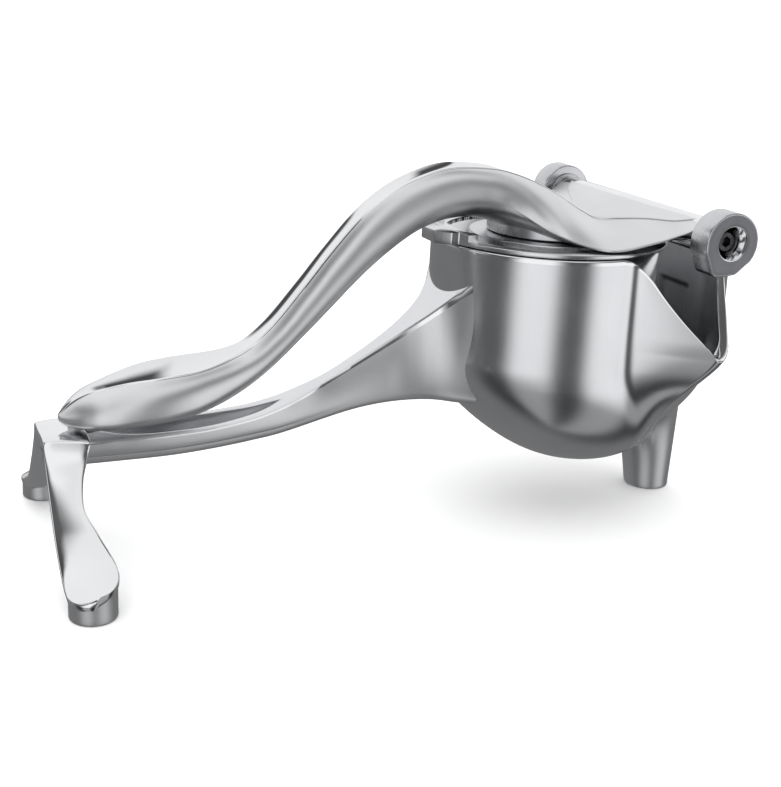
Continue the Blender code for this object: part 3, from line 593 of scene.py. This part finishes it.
# A slightly coned column that leans towards the bowl and flares softly into its underside;
# its top lies inside the cup's wall.
def makeRearFoot():
    angle = fullTurn(96)
    foot, flare = rearFoot["radius"], rearFoot["flare"] * smoothStep(0.5 - 0.6 * np.cos(angle))
    bottom = roundedPath([(0, 0), (0, foot), (4, foot + 4 * rearFoot["spread"])], rearFoot["rounding"])[1:-1]
    x = rearFoot["x"] + bottom[:, 1:] * np.cos(angle)
    low = np.stack([x, bottom[:, 1:] * np.sin(angle), bottom[:, :1] + 0 * angle], -1)
    topReach = foot + rearFoot["topGrowth"] + flare
    topX = rearFoot["x"] - rearFoot["topLean"] + topReach * np.cos(angle)
    topX = np.minimum(topX, cup["rearX"] - rearFoot["topInset"])
    topZ = undersideZ(topX, topReach * np.sin(angle)) + rearFoot["sunk"]
    t = np.linspace(0, 1, 40)[1:, None]
    z = mix(low[-1, :, 2], topZ, t)
    radius = foot + rearFoot["spread"] * z + flare * t**rearFoot["flareGrowth"]
    high = np.stack([rearFoot["x"] - rearFoot["lean"] * z + radius * np.cos(angle), radius * np.sin(angle), z], -1)
    high[..., 0] = np.minimum(high[..., 0], cadHigh.x / mm - rearFoot["inset"])
    piece = gridPiece("rearFoot", np.concatenate([low, high]), [(0, "matteAluminium")])
    return settle(piece, "body", "satin_aluminium", "body_casting")


makeRearFoot()
print("legs and feet made")


# ---- ears of the hinge
ear = {
    "radius": 9.8, "outerY": 57.4, "thickness": 9.4, "footZ": 94.2, "edge": 0.6,
    # outline: how far the circle goes on below the hinge in front, and the post's corners from the hinge's axis
    "arcBelow": math.radians(38), "postShoulder": -3, "postTaper": 3.5, "postFoot": -1.5, "postFront": (2.5, -10.2),
    "postRounding": 2.5,
    "coneRadius": 5.4, "coneDepth": 3.5, "coneBevel": (0.3, 0.15), "faceRows": (0.35, 0.7, 1.0),
    "headRadius": 3.1, "headLength": 3.0, "shankRadius": 2.0,
}


# Outline by angle about the hinge: a circle above, a tapering post below. The profile runs from the
# shank hole over the inner face, round the edge, over the outer face, down the cone and back.
def makeEar(name, side):
    r, drop = ear["radius"], ear["footZ"] - hingeZ
    arc = np.linspace(-ear["arcBelow"], np.pi, 60)
    top = np.stack([r * np.cos(arc), r * np.sin(arc)], -1)
    corners = [top[-1], (-r, ear["postShoulder"]), (-r + ear["postTaper"], drop), (ear["postFoot"], drop),
               ear["postFront"], top[0]]
    post = roundedPath(corners, ear["postRounding"], 8)
    steps = np.linspace(0, 1, 12)[:-1, None]
    dense = np.vstack([mix(a, b, steps) for a, b in zip(post[:-1], post[1:])])
    full = np.vstack([top, dense])
    angle, reach = np.arctan2(full[:, 1], full[:, 0]), np.hypot(full[:, 0], full[:, 1])
    order = np.argsort(angle)
    around = np.linspace(-np.pi, np.pi, 180, endpoint=False)
    edgeR = np.interp(around, angle[order], reach[order], period=2 * np.pi)
    outer, inner, e = ear["outerY"], ear["outerY"] - ear["thickness"], ear["edge"]
    hole, head = ear["shankRadius"] + gap, ear["headRadius"] + gap
    seat = outer - ear["coneDepth"] - ear["headLength"] - gap
    a = np.linspace(0, np.pi / 2, 5)
    rows = [(inner, hole + 0 * edgeR)]
    rows += [(inner + e * (1 - math.cos(v)), edgeR - e + e * math.sin(v)) for v in a]
    rows += [(outer - e + e * math.sin(v), edgeR - e + e * math.cos(v)) for v in a]
    flat = len(rows)
    bevel = ear["coneBevel"]
    rows += [(outer, mix(edgeR - e, ear["coneRadius"] + bevel[0], t)) for t in ear["faceRows"]]
    cone = len(rows)
    rows += [(outer - bevel[1], ear["coneRadius"] + 0 * edgeR), (outer - ear["coneDepth"], head + 0 * edgeR),
             (seat, head + 0 * edgeR), (seat, hole + 0 * edgeR)]
    y, reach = (np.array(column) for column in zip(*rows))
    # the ears' sides are painted shade in the darker metal, and their flat outer faces are painted shade in a
    # near-black one
    bands = [(0, "headAluminium"), (flat - 1, "groundAluminium"), (cone - 1, "polishedAluminium"),
             (len(rows) - 2, "screwSteel")]
    piece = gridPiece(name, aroundHinge(side * y[:, None], reach, around), bands, ring=True)
    return settle(piece, "body", "satin_aluminium", "body_casting")


makeEar("earNear", -1)
makeEar("earFar", 1)
print("ears made")


# ---- lever
lever = {
    # x, middle of the top, ridge half width and height, side half width and height, bottom, flare
    "stations": [
        (-111.3, 45.5, 0.7, 45.7, 1.6, 44.8, 43.6, 0), (-110, 46.8, 1.2, 47.3, 4.2, 45.0, 42.6, 0),
        (-107, 49.4, 2.3, 50.3, 8.4, 45.3, 41.7, 0), (-103, 51.3, 3.6, 52.8, 11.9, 45.7, 41.4, 0),
        (-97, 52.3, 5.4, 54.8, 14.7, 46.3, 41.7, 0), (-90, 52.7, 8.0, 56.8, 16.5, 47.3, 42.1, 0),
        (-84, 53.0, 9.9, 57.9, 17.2, 48.2, 42.6, 0), (-77, 53.8, 10.8, 58.8, 17.1, 49.4, 43.3, 0),
        (-70, 55.4, 10.6, 59.6, 16.0, 50.8, 44.3, 0), (-64, 57.3, 8.9, 60.6, 14.2, 52.5, 45.9, 0),
        (-58, 59.9, 6.8, 62.1, 12.2, 54.9, 48.1, 0), (-52, 63.0, 5.3, 64.6, 10.6, 58.0, 51.2, 0),
        (-44, 69.8, 4.8, 71.2, 9.5, 64.2, 56.8, 0), (-34, 81.5, 4.6, 82.9, 9.1, 74.6, 65.8, 0),
        (-24, 94.0, 4.6, 95.4, 9.1, 86.2, 75.4, 0),
        (-14, 104.9, 4.8, 106.7, 9.5, 97.0, 85.4, 0), (-4, 112.6, 5.0, 114.6, 10.0, 105.4, 94.0, 0),
        (6, 117.3, 5.4, 119.4, 10.8, 111.0, 100.8, 0), (16, 119.9, 6.2, 122.0, 11.8, 113.6, 104.4, 0),
        (26, 120.6, 6.8, 122.2, 13.2, 113.2, 105.0, 0), (34, 119.6, 7.4, 121.4, 15.2, 110.2, 103.2, 0.05),
        (40, 118.0, 8.0, 119.8, 18.6, 106.6, 101.2, 0.2), (44, 116.6, 8.4, 118.4, 22.4, 104.0, 100.0, 0.45),
        (50, 114.2, 8.8, 115.8, 30.0, 101.4, 99.4, 0.85), (57, 110.8, 9.0, 112.1, 38.2, 100.2, 99.4, 1),
        (64, 107.0, 9.4, 108.0, 39.9, 100.6, 99.4, 1),
        (70, 104.9, 11.0, 105.4, 40.7, 102.0, 99.4, 1), (75, 104.4, 16.0, 106.2, 41.6, 103.3, 99.4, 1),
        (80, 105.6, 27.0, 107.9, 43.0, 105.2, 99.4, 1), (84, 107.4, 35.0, 108.6, 44.4, 106.9, 99.5, 1),
        (88, 109.7, 40.0, 109.9, 45.6, 109.3, 99.6, 1), (91.4, 110.5, 44.0, 110.5, 46.2, 110.2, 99.7, 1),
    ],
    "rows": 380, "channelColumns": 18, "crest": 0.7, "crestColumns": 5, "rim": 0.8, "rimBulge": 0.35,
    "satinFrom": 68.0,
    # The flank's first pull point on the arm and on the plate, as shares of the way out and down from the ridge,
    # and its second one, as shares of the way in and up from the side.
    "armPull": (0.62, 0.10), "platePull": (0.30, 0.34), "armSettle": (0.0, 0.50), "plateSettle": (0.34, 0.20),
    # Pull points of the underside. Arm: share of the width, share of the way down. Plate: inset, share, drop.
    "armUnder": (0.58, 0.56), "plateUnder": (5, 0.7, 0.4),
    "barrelRadius": 5.8, "rodRadius": 3.4, "washer": 1.0, "washerRadius": 6.8,
    "neckRadius": 22.0, "neckLow": 99.4, "neckHigh": 103.4,
}


# Half section: a channel that rises with the square of y to the ridge, a small rounded crest, a flank drawn as
# a four-point curve that is convex on the arm and concave on the plate, the rim, and the underside.
def makeLeverArm():
    share = np.linspace(0, 1, lever["rows"])
    x = mix(lever["stations"][0][0], lever["stations"][-1][0], share)
    stations = throughStations(x, lever["stations"])
    middle, ridge, ridgeZ, sideY, sideZ, bottom, flare = (stations[:, i:i + 1] for i in range(7))
    flare = np.clip(flare, 0, 1)
    crest = np.minimum(lever["crest"], ridge * 0.4)
    q = np.linspace(0, 1, lever["channelColumns"])[None]
    y = [(ridge - crest) * q]
    z = [mix(middle, ridgeZ, q**2)]
    a = np.linspace(np.pi / 2, np.pi * 0.12, lever["crestColumns"] + 1)[None, 1:]
    y += [ridge - crest + crest * np.cos(a)]
    z += [ridgeZ - crest * (1 - np.sin(a))]
    startY, startZ = y[-1][:, -1:], z[-1][:, -1:]
    tall = startZ - sideZ
    arm, plate = lever["armPull"], lever["platePull"]
    upperY = mix(mix(startY, sideY, arm[0]), mix(startY, sideY, plate[0]), flare)
    upperZ = mix(startZ - arm[1] * tall, startZ - plate[1] * tall, flare)
    arm, plate = lever["armSettle"], lever["plateSettle"]
    lowerY = mix(mix(sideY, startY, arm[0]), mix(sideY, startY, plate[0]), flare)
    lowerZ = mix(sideZ + arm[1] * tall, sideZ + plate[1] * tall, flare)
    y += [bezier(startY, upperY, lowerY, sideY, 30)[:, 1:]]
    z += [bezier(startZ, upperZ, lowerZ, sideZ, 30)[:, 1:]]
    rim = mix(0.12, lever["rim"], flare)
    a = np.linspace(-np.pi / 2, np.pi / 2, 6)[None, 1:]
    y += [sideY + flare * lever["rimBulge"] * np.cos(a)]
    z += [sideZ - rim * (0.5 + 0.5 * np.sin(a))]
    under, arm, plate = sideZ - rim, lever["armUnder"], lever["plateUnder"]
    pullY, endY = mix(sideY, sideY - plate[0], flare), mix(sideY * arm[0], sideY * plate[1], flare)
    pullZ = mix(mix(under, bottom, arm[1]), under - plate[2], flare)
    y += [bezier(sideY, pullY, endY, 0 * sideY, 24)[:, 1:]]
    z += [bezier(under, pullZ, bottom, bottom, 24)[:, 1:]]
    y, z = np.hstack(y), np.hstack(z)
    points = bothSides(x[:, None] + 0 * y, y, z)
    channel = lever["channelColumns"] + lever["crestColumns"] - 1      # columns on each side of the middle
    bands = [(0, "polishedAluminium"), (channel, "matteAluminium"), (points.shape[1] - channel, "polishedAluminium")]
    piece = gridPiece("leverArm", points, bands, sharp=38, byColumn=True)
    centres, slots = np.empty(3 * len(piece.data.polygons)), np.empty(len(piece.data.polygons), int)
    piece.data.polygons.foreach_get("center", centres)
    piece.data.polygons.foreach_get("material_index", slots)
    slots[centres[::3] > lever["satinFrom"] * mm] = 1
    piece.data.polygons.foreach_set("material_index", slots)
    return settle(piece, "lever", "polished_aluminium", "lever_casting")


def makeLeverEnd():
    half = ear["outerY"] - ear["thickness"] - 2 * gap - lever["washer"]
    bore, radius = lever["rodRadius"] + gap, lever["barrelRadius"]
    profile = roundedPath([(-half, bore), (-half, radius), (half, radius), (half, bore)], 0.6)
    profile = np.vstack([profile[1:], [(half, bore), (-half, bore)]])
    barrel = turnedY("leverBarrel", profile, [(0, "polishedAluminium")], 96, ring=True)
    settle(barrel, "lever", "polished_aluminium", "lever_casting")
    low, high, r = lever["neckLow"], lever["neckHigh"], lever["neckRadius"]
    # the neck is painted shade in the darker metal
    neck = turnedZ("leverNeck", [(low, r - 0.3), (low + 0.3, r), (high, r - 0.4)],
                   cup["axisX"], 0, [(0, "headAluminium")], 128)
    settle(neck, "lever", "polished_aluminium", "lever_casting")


makeLeverArm()
makeLeverEnd()
print("lever made")


# ---- press head and its screw
pressHead = {
    "radius": 28.0, "topZ": 99.0, "shoulderZ": 78.0, "bottomZ": 57.0, "domeAngle": 1.36, "edge": 0.5,
    "seatRadius": 5.8, "seatDepth": 3.3, "screwRadius": 3.3,
}


# A drum whose lower half is a dome, with a round seat for the screw at its tip and a hole through the middle.
def makePressHead():
    r, drop = pressHead["radius"], pressHead["shoulderZ"] - pressHead["bottomZ"]
    a = np.linspace(0, pressHead["domeAngle"], 30)
    dome = np.stack([pressHead["shoulderZ"] - drop * np.sin(a), r * np.cos(a)], -1)
    dome = dome[dome[:, 1] > pressHead["seatRadius"] + 0.8]
    low, wide, hole = pressHead["bottomZ"], pressHead["seatRadius"], pressHead["screwRadius"]
    seat = low + pressHead["seatDepth"]
    edge = roundedPath([(pressHead["topZ"], hole), (pressHead["topZ"], r), (pressHead["shoulderZ"], r)],
                       pressHead["edge"])
    inside = [(low, wide + 0.3), (low + 0.3, wide), (seat, wide), (seat, hole)]
    profile = np.vstack([edge, dome[1:], inside])
    # the head is painted shade in the darker metal
    head = turnedZ("pressHead", profile, cup["axisX"], 0, [(0, "headAluminium")], 128, ring=True)
    return settle(head, "lever", "head_aluminium", "press_head")


makePressHead()


# ---- strainer: slotted bowl, flange and lug
strainer = {
    "wall": 1.6, "bottomZ": 38.0, "rounding": 28.0, "flangeTop": 98.8, "flangeRadius": 40.4, "outer": 37.9,
    "slots": 10, "slotHalf": 1.5, "slotInner": 8.0, "slotOuter": 27.0, "flangeEdge": 0.45,
    "lugReach": 46.5, "lugHalf": 9.5, "lugChamfer": 4.5, "lugThickness": 4.0, "lugLow": 97.3, "lugRounding": 1.2,
    # the lug's root widens into the flange, whose inner edge it follows over this angle to both sides
    "rootGrowth": (0.4, 4), "rootSpread": math.radians(21),
    # share of the lug's thickness, height from there, and the size of the outline
    "lugRows": [(0, 0, 0.985), (0, 0.35, 1.0), (1, -0.35, 1.0), (1, -0.1, 0.99), (1, 0, 0.965)],
}


# The bowl's middle surface as rows of a turned profile, with the faces of the slots left out, thickened both ways.
def makeStrainerBowl():
    r, rounding, thick = strainer["outer"] - strainer["wall"] / 2, strainer["rounding"], strainer["wall"]
    low = strainer["bottomZ"] + thick / 2
    a = np.linspace(0, np.pi / 2, 40)
    radii = np.concatenate([[0.6], np.linspace(2, r - rounding, 8)[:-1], r - rounding + rounding * np.sin(a), [r]])
    heights = np.concatenate([np.full(8, low), low + rounding * (1 - np.cos(a)), [strainer["flangeTop"] - 0.4]])
    rows, columns = len(radii), 240
    angle = fullTurn(columns)
    points = np.stack([cup["axisX"] + radii[:, None] * np.cos(angle), radii[:, None] * np.sin(angle),
                       heights[:, None] + 0 * angle], -1)
    pitch = 2 * np.pi / strainer["slots"]
    middle = (radii[1:] + radii[:-1]) / 2
    away = np.abs((angle + np.pi / columns) % pitch - pitch / 2)
    narrow = middle[:, None] * np.sin(away)[None] < strainer["slotHalf"]
    slotted = (middle > strainer["slotInner"]) & (middle < strainer["slotOuter"])
    row, column = np.nonzero(~(narrow & slotted[:, None]))
    right, here, below = (column + 1) % columns, row * columns, (row + 1) * columns
    faces = np.stack([here + column, here + right, below + right, below + column], -1).tolist()
    verts = np.vstack([points.reshape(-1, 3), [[cup["axisX"], 0, low]]])
    step = np.arange(columns)
    faces += np.stack([(step + 1) % columns, step, np.full(columns, rows * columns)], -1).tolist()
    piece = linkPiece("strainerBowl", verts, faces, ["strainerAluminium"])
    solid = piece.modifiers.new("Wall", "SOLIDIFY")
    solid.thickness, solid.offset = thick * mm, 0
    return settle(piece, "body", "strainer_aluminium", "strainer_insert")


# A flat ring on the cup's rim, and a plate with cut corners that sticks out of it over the lower handle.
def makeStrainerTop():
    inner, outer = strainer["outer"] - strainer["wall"], strainer["flangeRadius"]
    low, high = cup["rimZ"] + gap, strainer["flangeTop"]
    ringPath = roundedPath([(low, inner), (low, outer), (high, outer), (high, inner)], strainer["flangeEdge"])
    flange = turnedZ("strainerFlange", ringPath, cup["axisX"], 0, [(0, "strainerAluminium")], 192, ring=True)
    settle(flange, "body", "strainer_aluminium", "strainer_insert")
    end, root = cup["axisX"] - strainer["lugReach"], cup["axisX"] - outer + 1
    half, cut, (slight, wide) = strainer["lugHalf"], strainer["lugChamfer"], strainer["rootGrowth"]
    side = np.array([(end, half - cut), (end + cut, half), (root, half + slight), (root + 1.5, half + wide)])
    plan = np.vstack([side[::-1] * [1, -1], side])
    turn = np.linspace(-1, 1, 15)[:, None] * strainer["rootSpread"]
    inside = np.hstack([cup["axisX"] - (inner + 0.3) * np.cos(turn), -(inner + 0.3) * np.sin(turn)])
    around = np.vstack([roundedPath(plan, strainer["lugRounding"], 7), inside])
    centre = around.mean(0)
    points = []
    for up, height, size in strainer["lugRows"]:
        z = strainer["lugLow"] + strainer["lugThickness"] * up + height
        points.append(np.column_stack([centre + (around - centre) * size, np.full(len(around), z)]))
    lug = gridPiece("strainerLug", np.stack(points), [(0, "strainerAluminium")], sharp=28)
    settle(lug, "body", "strainer_aluminium", "strainer_insert")


makeStrainerBowl()
makeStrainerTop()
print("press head and strainer made")


# ---- rod, washers and socket screws of the hinge
hinge = {
    "rodHalf": 47.7, "rodEdge": 0.4, "tapDepth": 7.7, "tapEnd": 0.05,
    "shankLength": 10.0, "socketRadius": 1.7, "flatShare": 0.9, "socketDepth": 2.0, "socketBevel": 0.15, "edge": 0.3,
}


# The rod between the ears, with a hole at each end for its screw.
def makeRod():
    half, r, tap = hinge["rodHalf"], lever["rodRadius"], ear["shankRadius"] + gap
    deep = half - hinge["tapDepth"]
    path = roundedPath([(-half, tap), (-half, r), (half, r), (half, tap)], hinge["rodEdge"])
    profile = np.vstack([[(-deep, hinge["tapEnd"]), (-deep, tap)], path, [(deep, tap), (deep, hinge["tapEnd"])]])
    rod = turnedY("pivotRod", profile, [(0, "rodSteel")])
    return settle(rod, "body", "rod_steel", "pivot_rod")


# The socket is a hexagon: its radius over the cosine of the angle to the nearest flat.
def makeHingeScrew(name, node, side):
    face = ear["outerY"] - ear["coneDepth"]
    under = face - ear["headLength"]
    r, shank = ear["headRadius"], ear["shankRadius"]
    around = fullTurn(96)
    toFlat = (around + np.pi / 6) % (np.pi / 3) - np.pi / 6
    hexagon, bevel = hinge["socketRadius"] * hinge["flatShare"] / np.cos(toFlat), hinge["socketBevel"]
    end = under - hinge["shankLength"]
    path = roundedPath([(end, 0), (end, shank), (under, shank), (under, r), (face, r), (face, 0)], hinge["edge"])
    rows = [(y, radius + 0 * around) for y, radius in path[1:-1]]
    rows += [(face, hexagon + bevel), (face - bevel, hexagon), (face - hinge["socketDepth"], hexagon)]
    y, reach = (np.array(column) for column in zip(*rows))
    screw = gridPiece(name, aroundHinge(side * y[:, None], reach, around), [(0, "screwSteel")])
    return settle(screw, "body", "screw_steel", node)


# A flat ring round the rod, between the barrel's end and the ear.
def makeWasher(name, node, side):
    outer = ear["outerY"] - ear["thickness"] - gap
    inner = outer - lever["washer"]
    hole, r = lever["rodRadius"] + gap, lever["washerRadius"]
    path = roundedPath([(inner, hole), (inner, r), (outer, r), (outer, hole)], hinge["edge"])
    washer = turnedY(name, path * [side, 1], [(0, "washerSteel")], 96, ring=True)
    return settle(washer, "body", "washer_steel", node)


makeRod()
for label, side in (("Near", -1), ("Far", 1)):
    makeHingeScrew(f"pivotScrew{label}", f"pivot_screw_{label.lower()}", side)
    makeWasher(f"washer{label}", f"washer_{label.lower()}", side)

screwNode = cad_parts["press_head_screw"]
screwNode.data.materials.clear()
screwNode.data.materials.append(metals["rodSteel"])
print("hinge parts made")


# ---- floor, light and camera
studio = {
    "floorProfile": [(4, 0), (8, 0), (16, 0.3), (26, 1.6), (36, 4.0)],      # radius and height in metres
    "floorColours": ((0.93, 0.93, 0.93, 1), (0.95, 0.95, 0.95, 1)), "floorRoughness": 0.85, "floorShine": 0.1,
    "floorPatches": 4.0, "lampPower": 3.0, "lampAngle": 150, "lampTilt": (8, -6),
    "lightColour": (0.985, 0.99, 1.0, 1),
    # Heights, eastings and northings are those of a direction of length 1. A zone is where it starts and ends,
    # and the brightness before and after. Panels: azimuth and half width in degrees, brightness, heights of fading.
    "panels": [(-128, 21, 1.0, 0.8, 0.95), (-50, 24, 1.0, 0.30, 0.55)],
    "panelSoftness": 10, "panelLight": 0.95, "baseLight": 0.12, "floorFade": (-0.62, -0.25, 0.35, 1.0),
    "ceiling": (0.74, 0.88, 0.0, 1.0), "ceilingLight": 0.95,
    "backWall": (-0.12, 0.18, 0.20, 0.98), "backFrom": (-0.15, 0.25),
    # two dark openings in the back, each between heights and between eastings: overhead and on the left
    "openings": [((0.79, 0.85), (-0.02, 0.12)), ((0.30, 0.45), (-0.62, -0.52, 1.0, 0.0))], "openingDepth": 0.92,
}


# A flat round floor whose far rim rises slowly, so that no horizon shows.
def makeFloor():
    angle = fullTurn(64)
    radius, height = (np.array(column, float)[:, None] for column in zip(*studio["floorProfile"]))
    points = np.stack([radius * np.cos(angle), radius * np.sin(angle), height + 0 * angle], -1).reshape(-1, 3)
    step = np.arange(64)
    after = (step + 1) % 64
    rings = [64 * ring for ring in range(len(radius) - 1)]
    quads = [np.stack([step + 64 + ring, after + 64 + ring, after + ring, step + ring], -1) for ring in rings]
    mesh = bpy.data.meshes.new("studioFloor")
    mesh.from_pydata(points.tolist(), [], np.concatenate(quads).tolist() + [step.tolist()])
    mesh.shade_smooth()
    floor = bpy.data.objects.new("studioFloor", mesh)
    bpy.context.scene.collection.objects.link(floor)
    material, tree, shader = newPaint("floorPaint")
    shader.inputs["Roughness"].default_value = studio["floorRoughness"]
    shader.inputs["Specular IOR Level"].default_value = studio["floorShine"]
    place = addNode(tree, "TexCoord", {}, "Object")
    patches = addNode(tree, "TexNoise", {"Scale": studio["floorPatches"], "Vector": place}, "Fac")
    one, other = studio["floorColours"]
    tint = addNode(tree, "Mix", {"A": one, "B": other, "Factor": patches}, "Result", data_type="RGBA")
    tree.links.new(tint, shader.inputs["Base Color"])
    mesh.materials.append(material)
    floor.visible_glossy = False              # the metal mirrors the studio's light instead


# The studio as soft zones of direction: upright light panels in front with dark gaps beside them under a light
# ceiling, and a light wall behind with a dark opening overhead and one to the left.
def makeStudio():
    world = bpy.data.worlds.new("studio")
    bpy.context.scene.world = world
    world.use_nodes = True
    tree = world.node_tree
    background = tree.nodes["Background"]
    split = addNode(tree, "SeparateXYZ", {"Vector": addNode(tree, "TexCoord", {}, "Generated")}).node
    east, north, height = (split.outputs[axis] for axis in "XYZ")

    def calculate(operation, *values):
        return addNode(tree, "Math", dict(enumerate(values)), operation=operation)

    def zone(value, start, end, low=0.0, high=1.0):
        return ramp(tree, value, start, end, low, high, "SMOOTHSTEP")

    azimuth, softness = calculate("ARCTAN2", north, east), studio["panelSoftness"]
    panels = None
    for centre, half, brightness, full, gone in studio["panels"]:
        away = calculate("ABSOLUTE", calculate("SUBTRACT", azimuth, math.radians(centre)))
        panel = zone(away, math.radians(half - softness), math.radians(half + softness), brightness, 0.0)
        panel = calculate("MULTIPLY", panel, zone(height, full, gone, 1.0, 0.0))
        panels = panel if panels is None else calculate("MAXIMUM", panels, panel)
    horizon = calculate("ADD", calculate("MULTIPLY", panels, studio["panelLight"]), studio["baseLight"])
    frontLow = calculate("MULTIPLY", horizon, zone(height, *studio["floorFade"]))
    frontUp = zone(height, *studio["ceiling"])
    front = calculate("ADD", calculate("MULTIPLY", frontLow, calculate("SUBTRACT", 1.0, frontUp)),
                      calculate("MULTIPLY", frontUp, studio["ceilingLight"]))
    cap, patch = (calculate("MULTIPLY", zone(height, *heights), zone(east, *eastings))
                  for heights, eastings in studio["openings"])
    dark = calculate("MULTIPLY", calculate("MAXIMUM", cap, patch), studio["openingDepth"])
    back = calculate("MULTIPLY", zone(height, *studio["backWall"]), calculate("SUBTRACT", 1.0, dark))
    behind = zone(north, *studio["backFrom"])
    sky = calculate("ADD", calculate("MULTIPLY", back, behind),
                    calculate("MULTIPLY", front, calculate("SUBTRACT", 1.0, behind)))
    tree.links.new(sky, background.inputs["Strength"])
    background.inputs["Color"].default_value = studio["lightColour"]


def makeLamp():
    light = bpy.data.lights.new("ceilingLight", "SUN")
    light.energy, light.angle = studio["lampPower"], math.radians(studio["lampAngle"])
    lamp = bpy.data.objects.new("ceilingLight", light)
    lamp.rotation_euler = (*(math.radians(tilt) for tilt in studio["lampTilt"]), 0)
    lamp.visible_glossy = False
    bpy.context.scene.collection.objects.link(lamp)


# place in metres, angles in degrees, lens and sensor in millimetres
camera = {
    "place": (-0.1684, -0.3887, 0.1785), "azimuth": 23.5, "elevation": 17.6, "roll": 3.0, "lens": 59.19, "sensor": 36,
}


def makeCamera():
    azimuth, elevation, roll = (math.radians(camera[key]) for key in ("azimuth", "elevation", "roll"))
    ahead = Vector((math.sin(azimuth) * math.cos(elevation), math.cos(azimuth) * math.cos(elevation),
                    -math.sin(elevation)))
    right = Vector((math.cos(azimuth), -math.sin(azimuth), 0))
    up = right.cross(ahead)
    tiltedRight = right * math.cos(roll) + up * math.sin(roll)
    tiltedUp = up * math.cos(roll) - right * math.sin(roll)
    data = bpy.data.cameras.new("camera")
    data.lens, data.sensor_width, data.clip_start = camera["lens"], camera["sensor"], 0.01
    eye = bpy.data.objects.new("camera", data)
    turn = Matrix((tiltedRight, tiltedUp, -ahead)).transposed().to_4x4()
    eye.matrix_world = Matrix.Translation(camera["place"]) @ turn
    bpy.context.scene.collection.objects.link(eye)
    bpy.context.scene.camera = eye


makeFloor()
makeStudio()
makeLamp()
makeCamera()
bpy.context.scene.view_settings.view_transform = "Standard"
print("studio made")
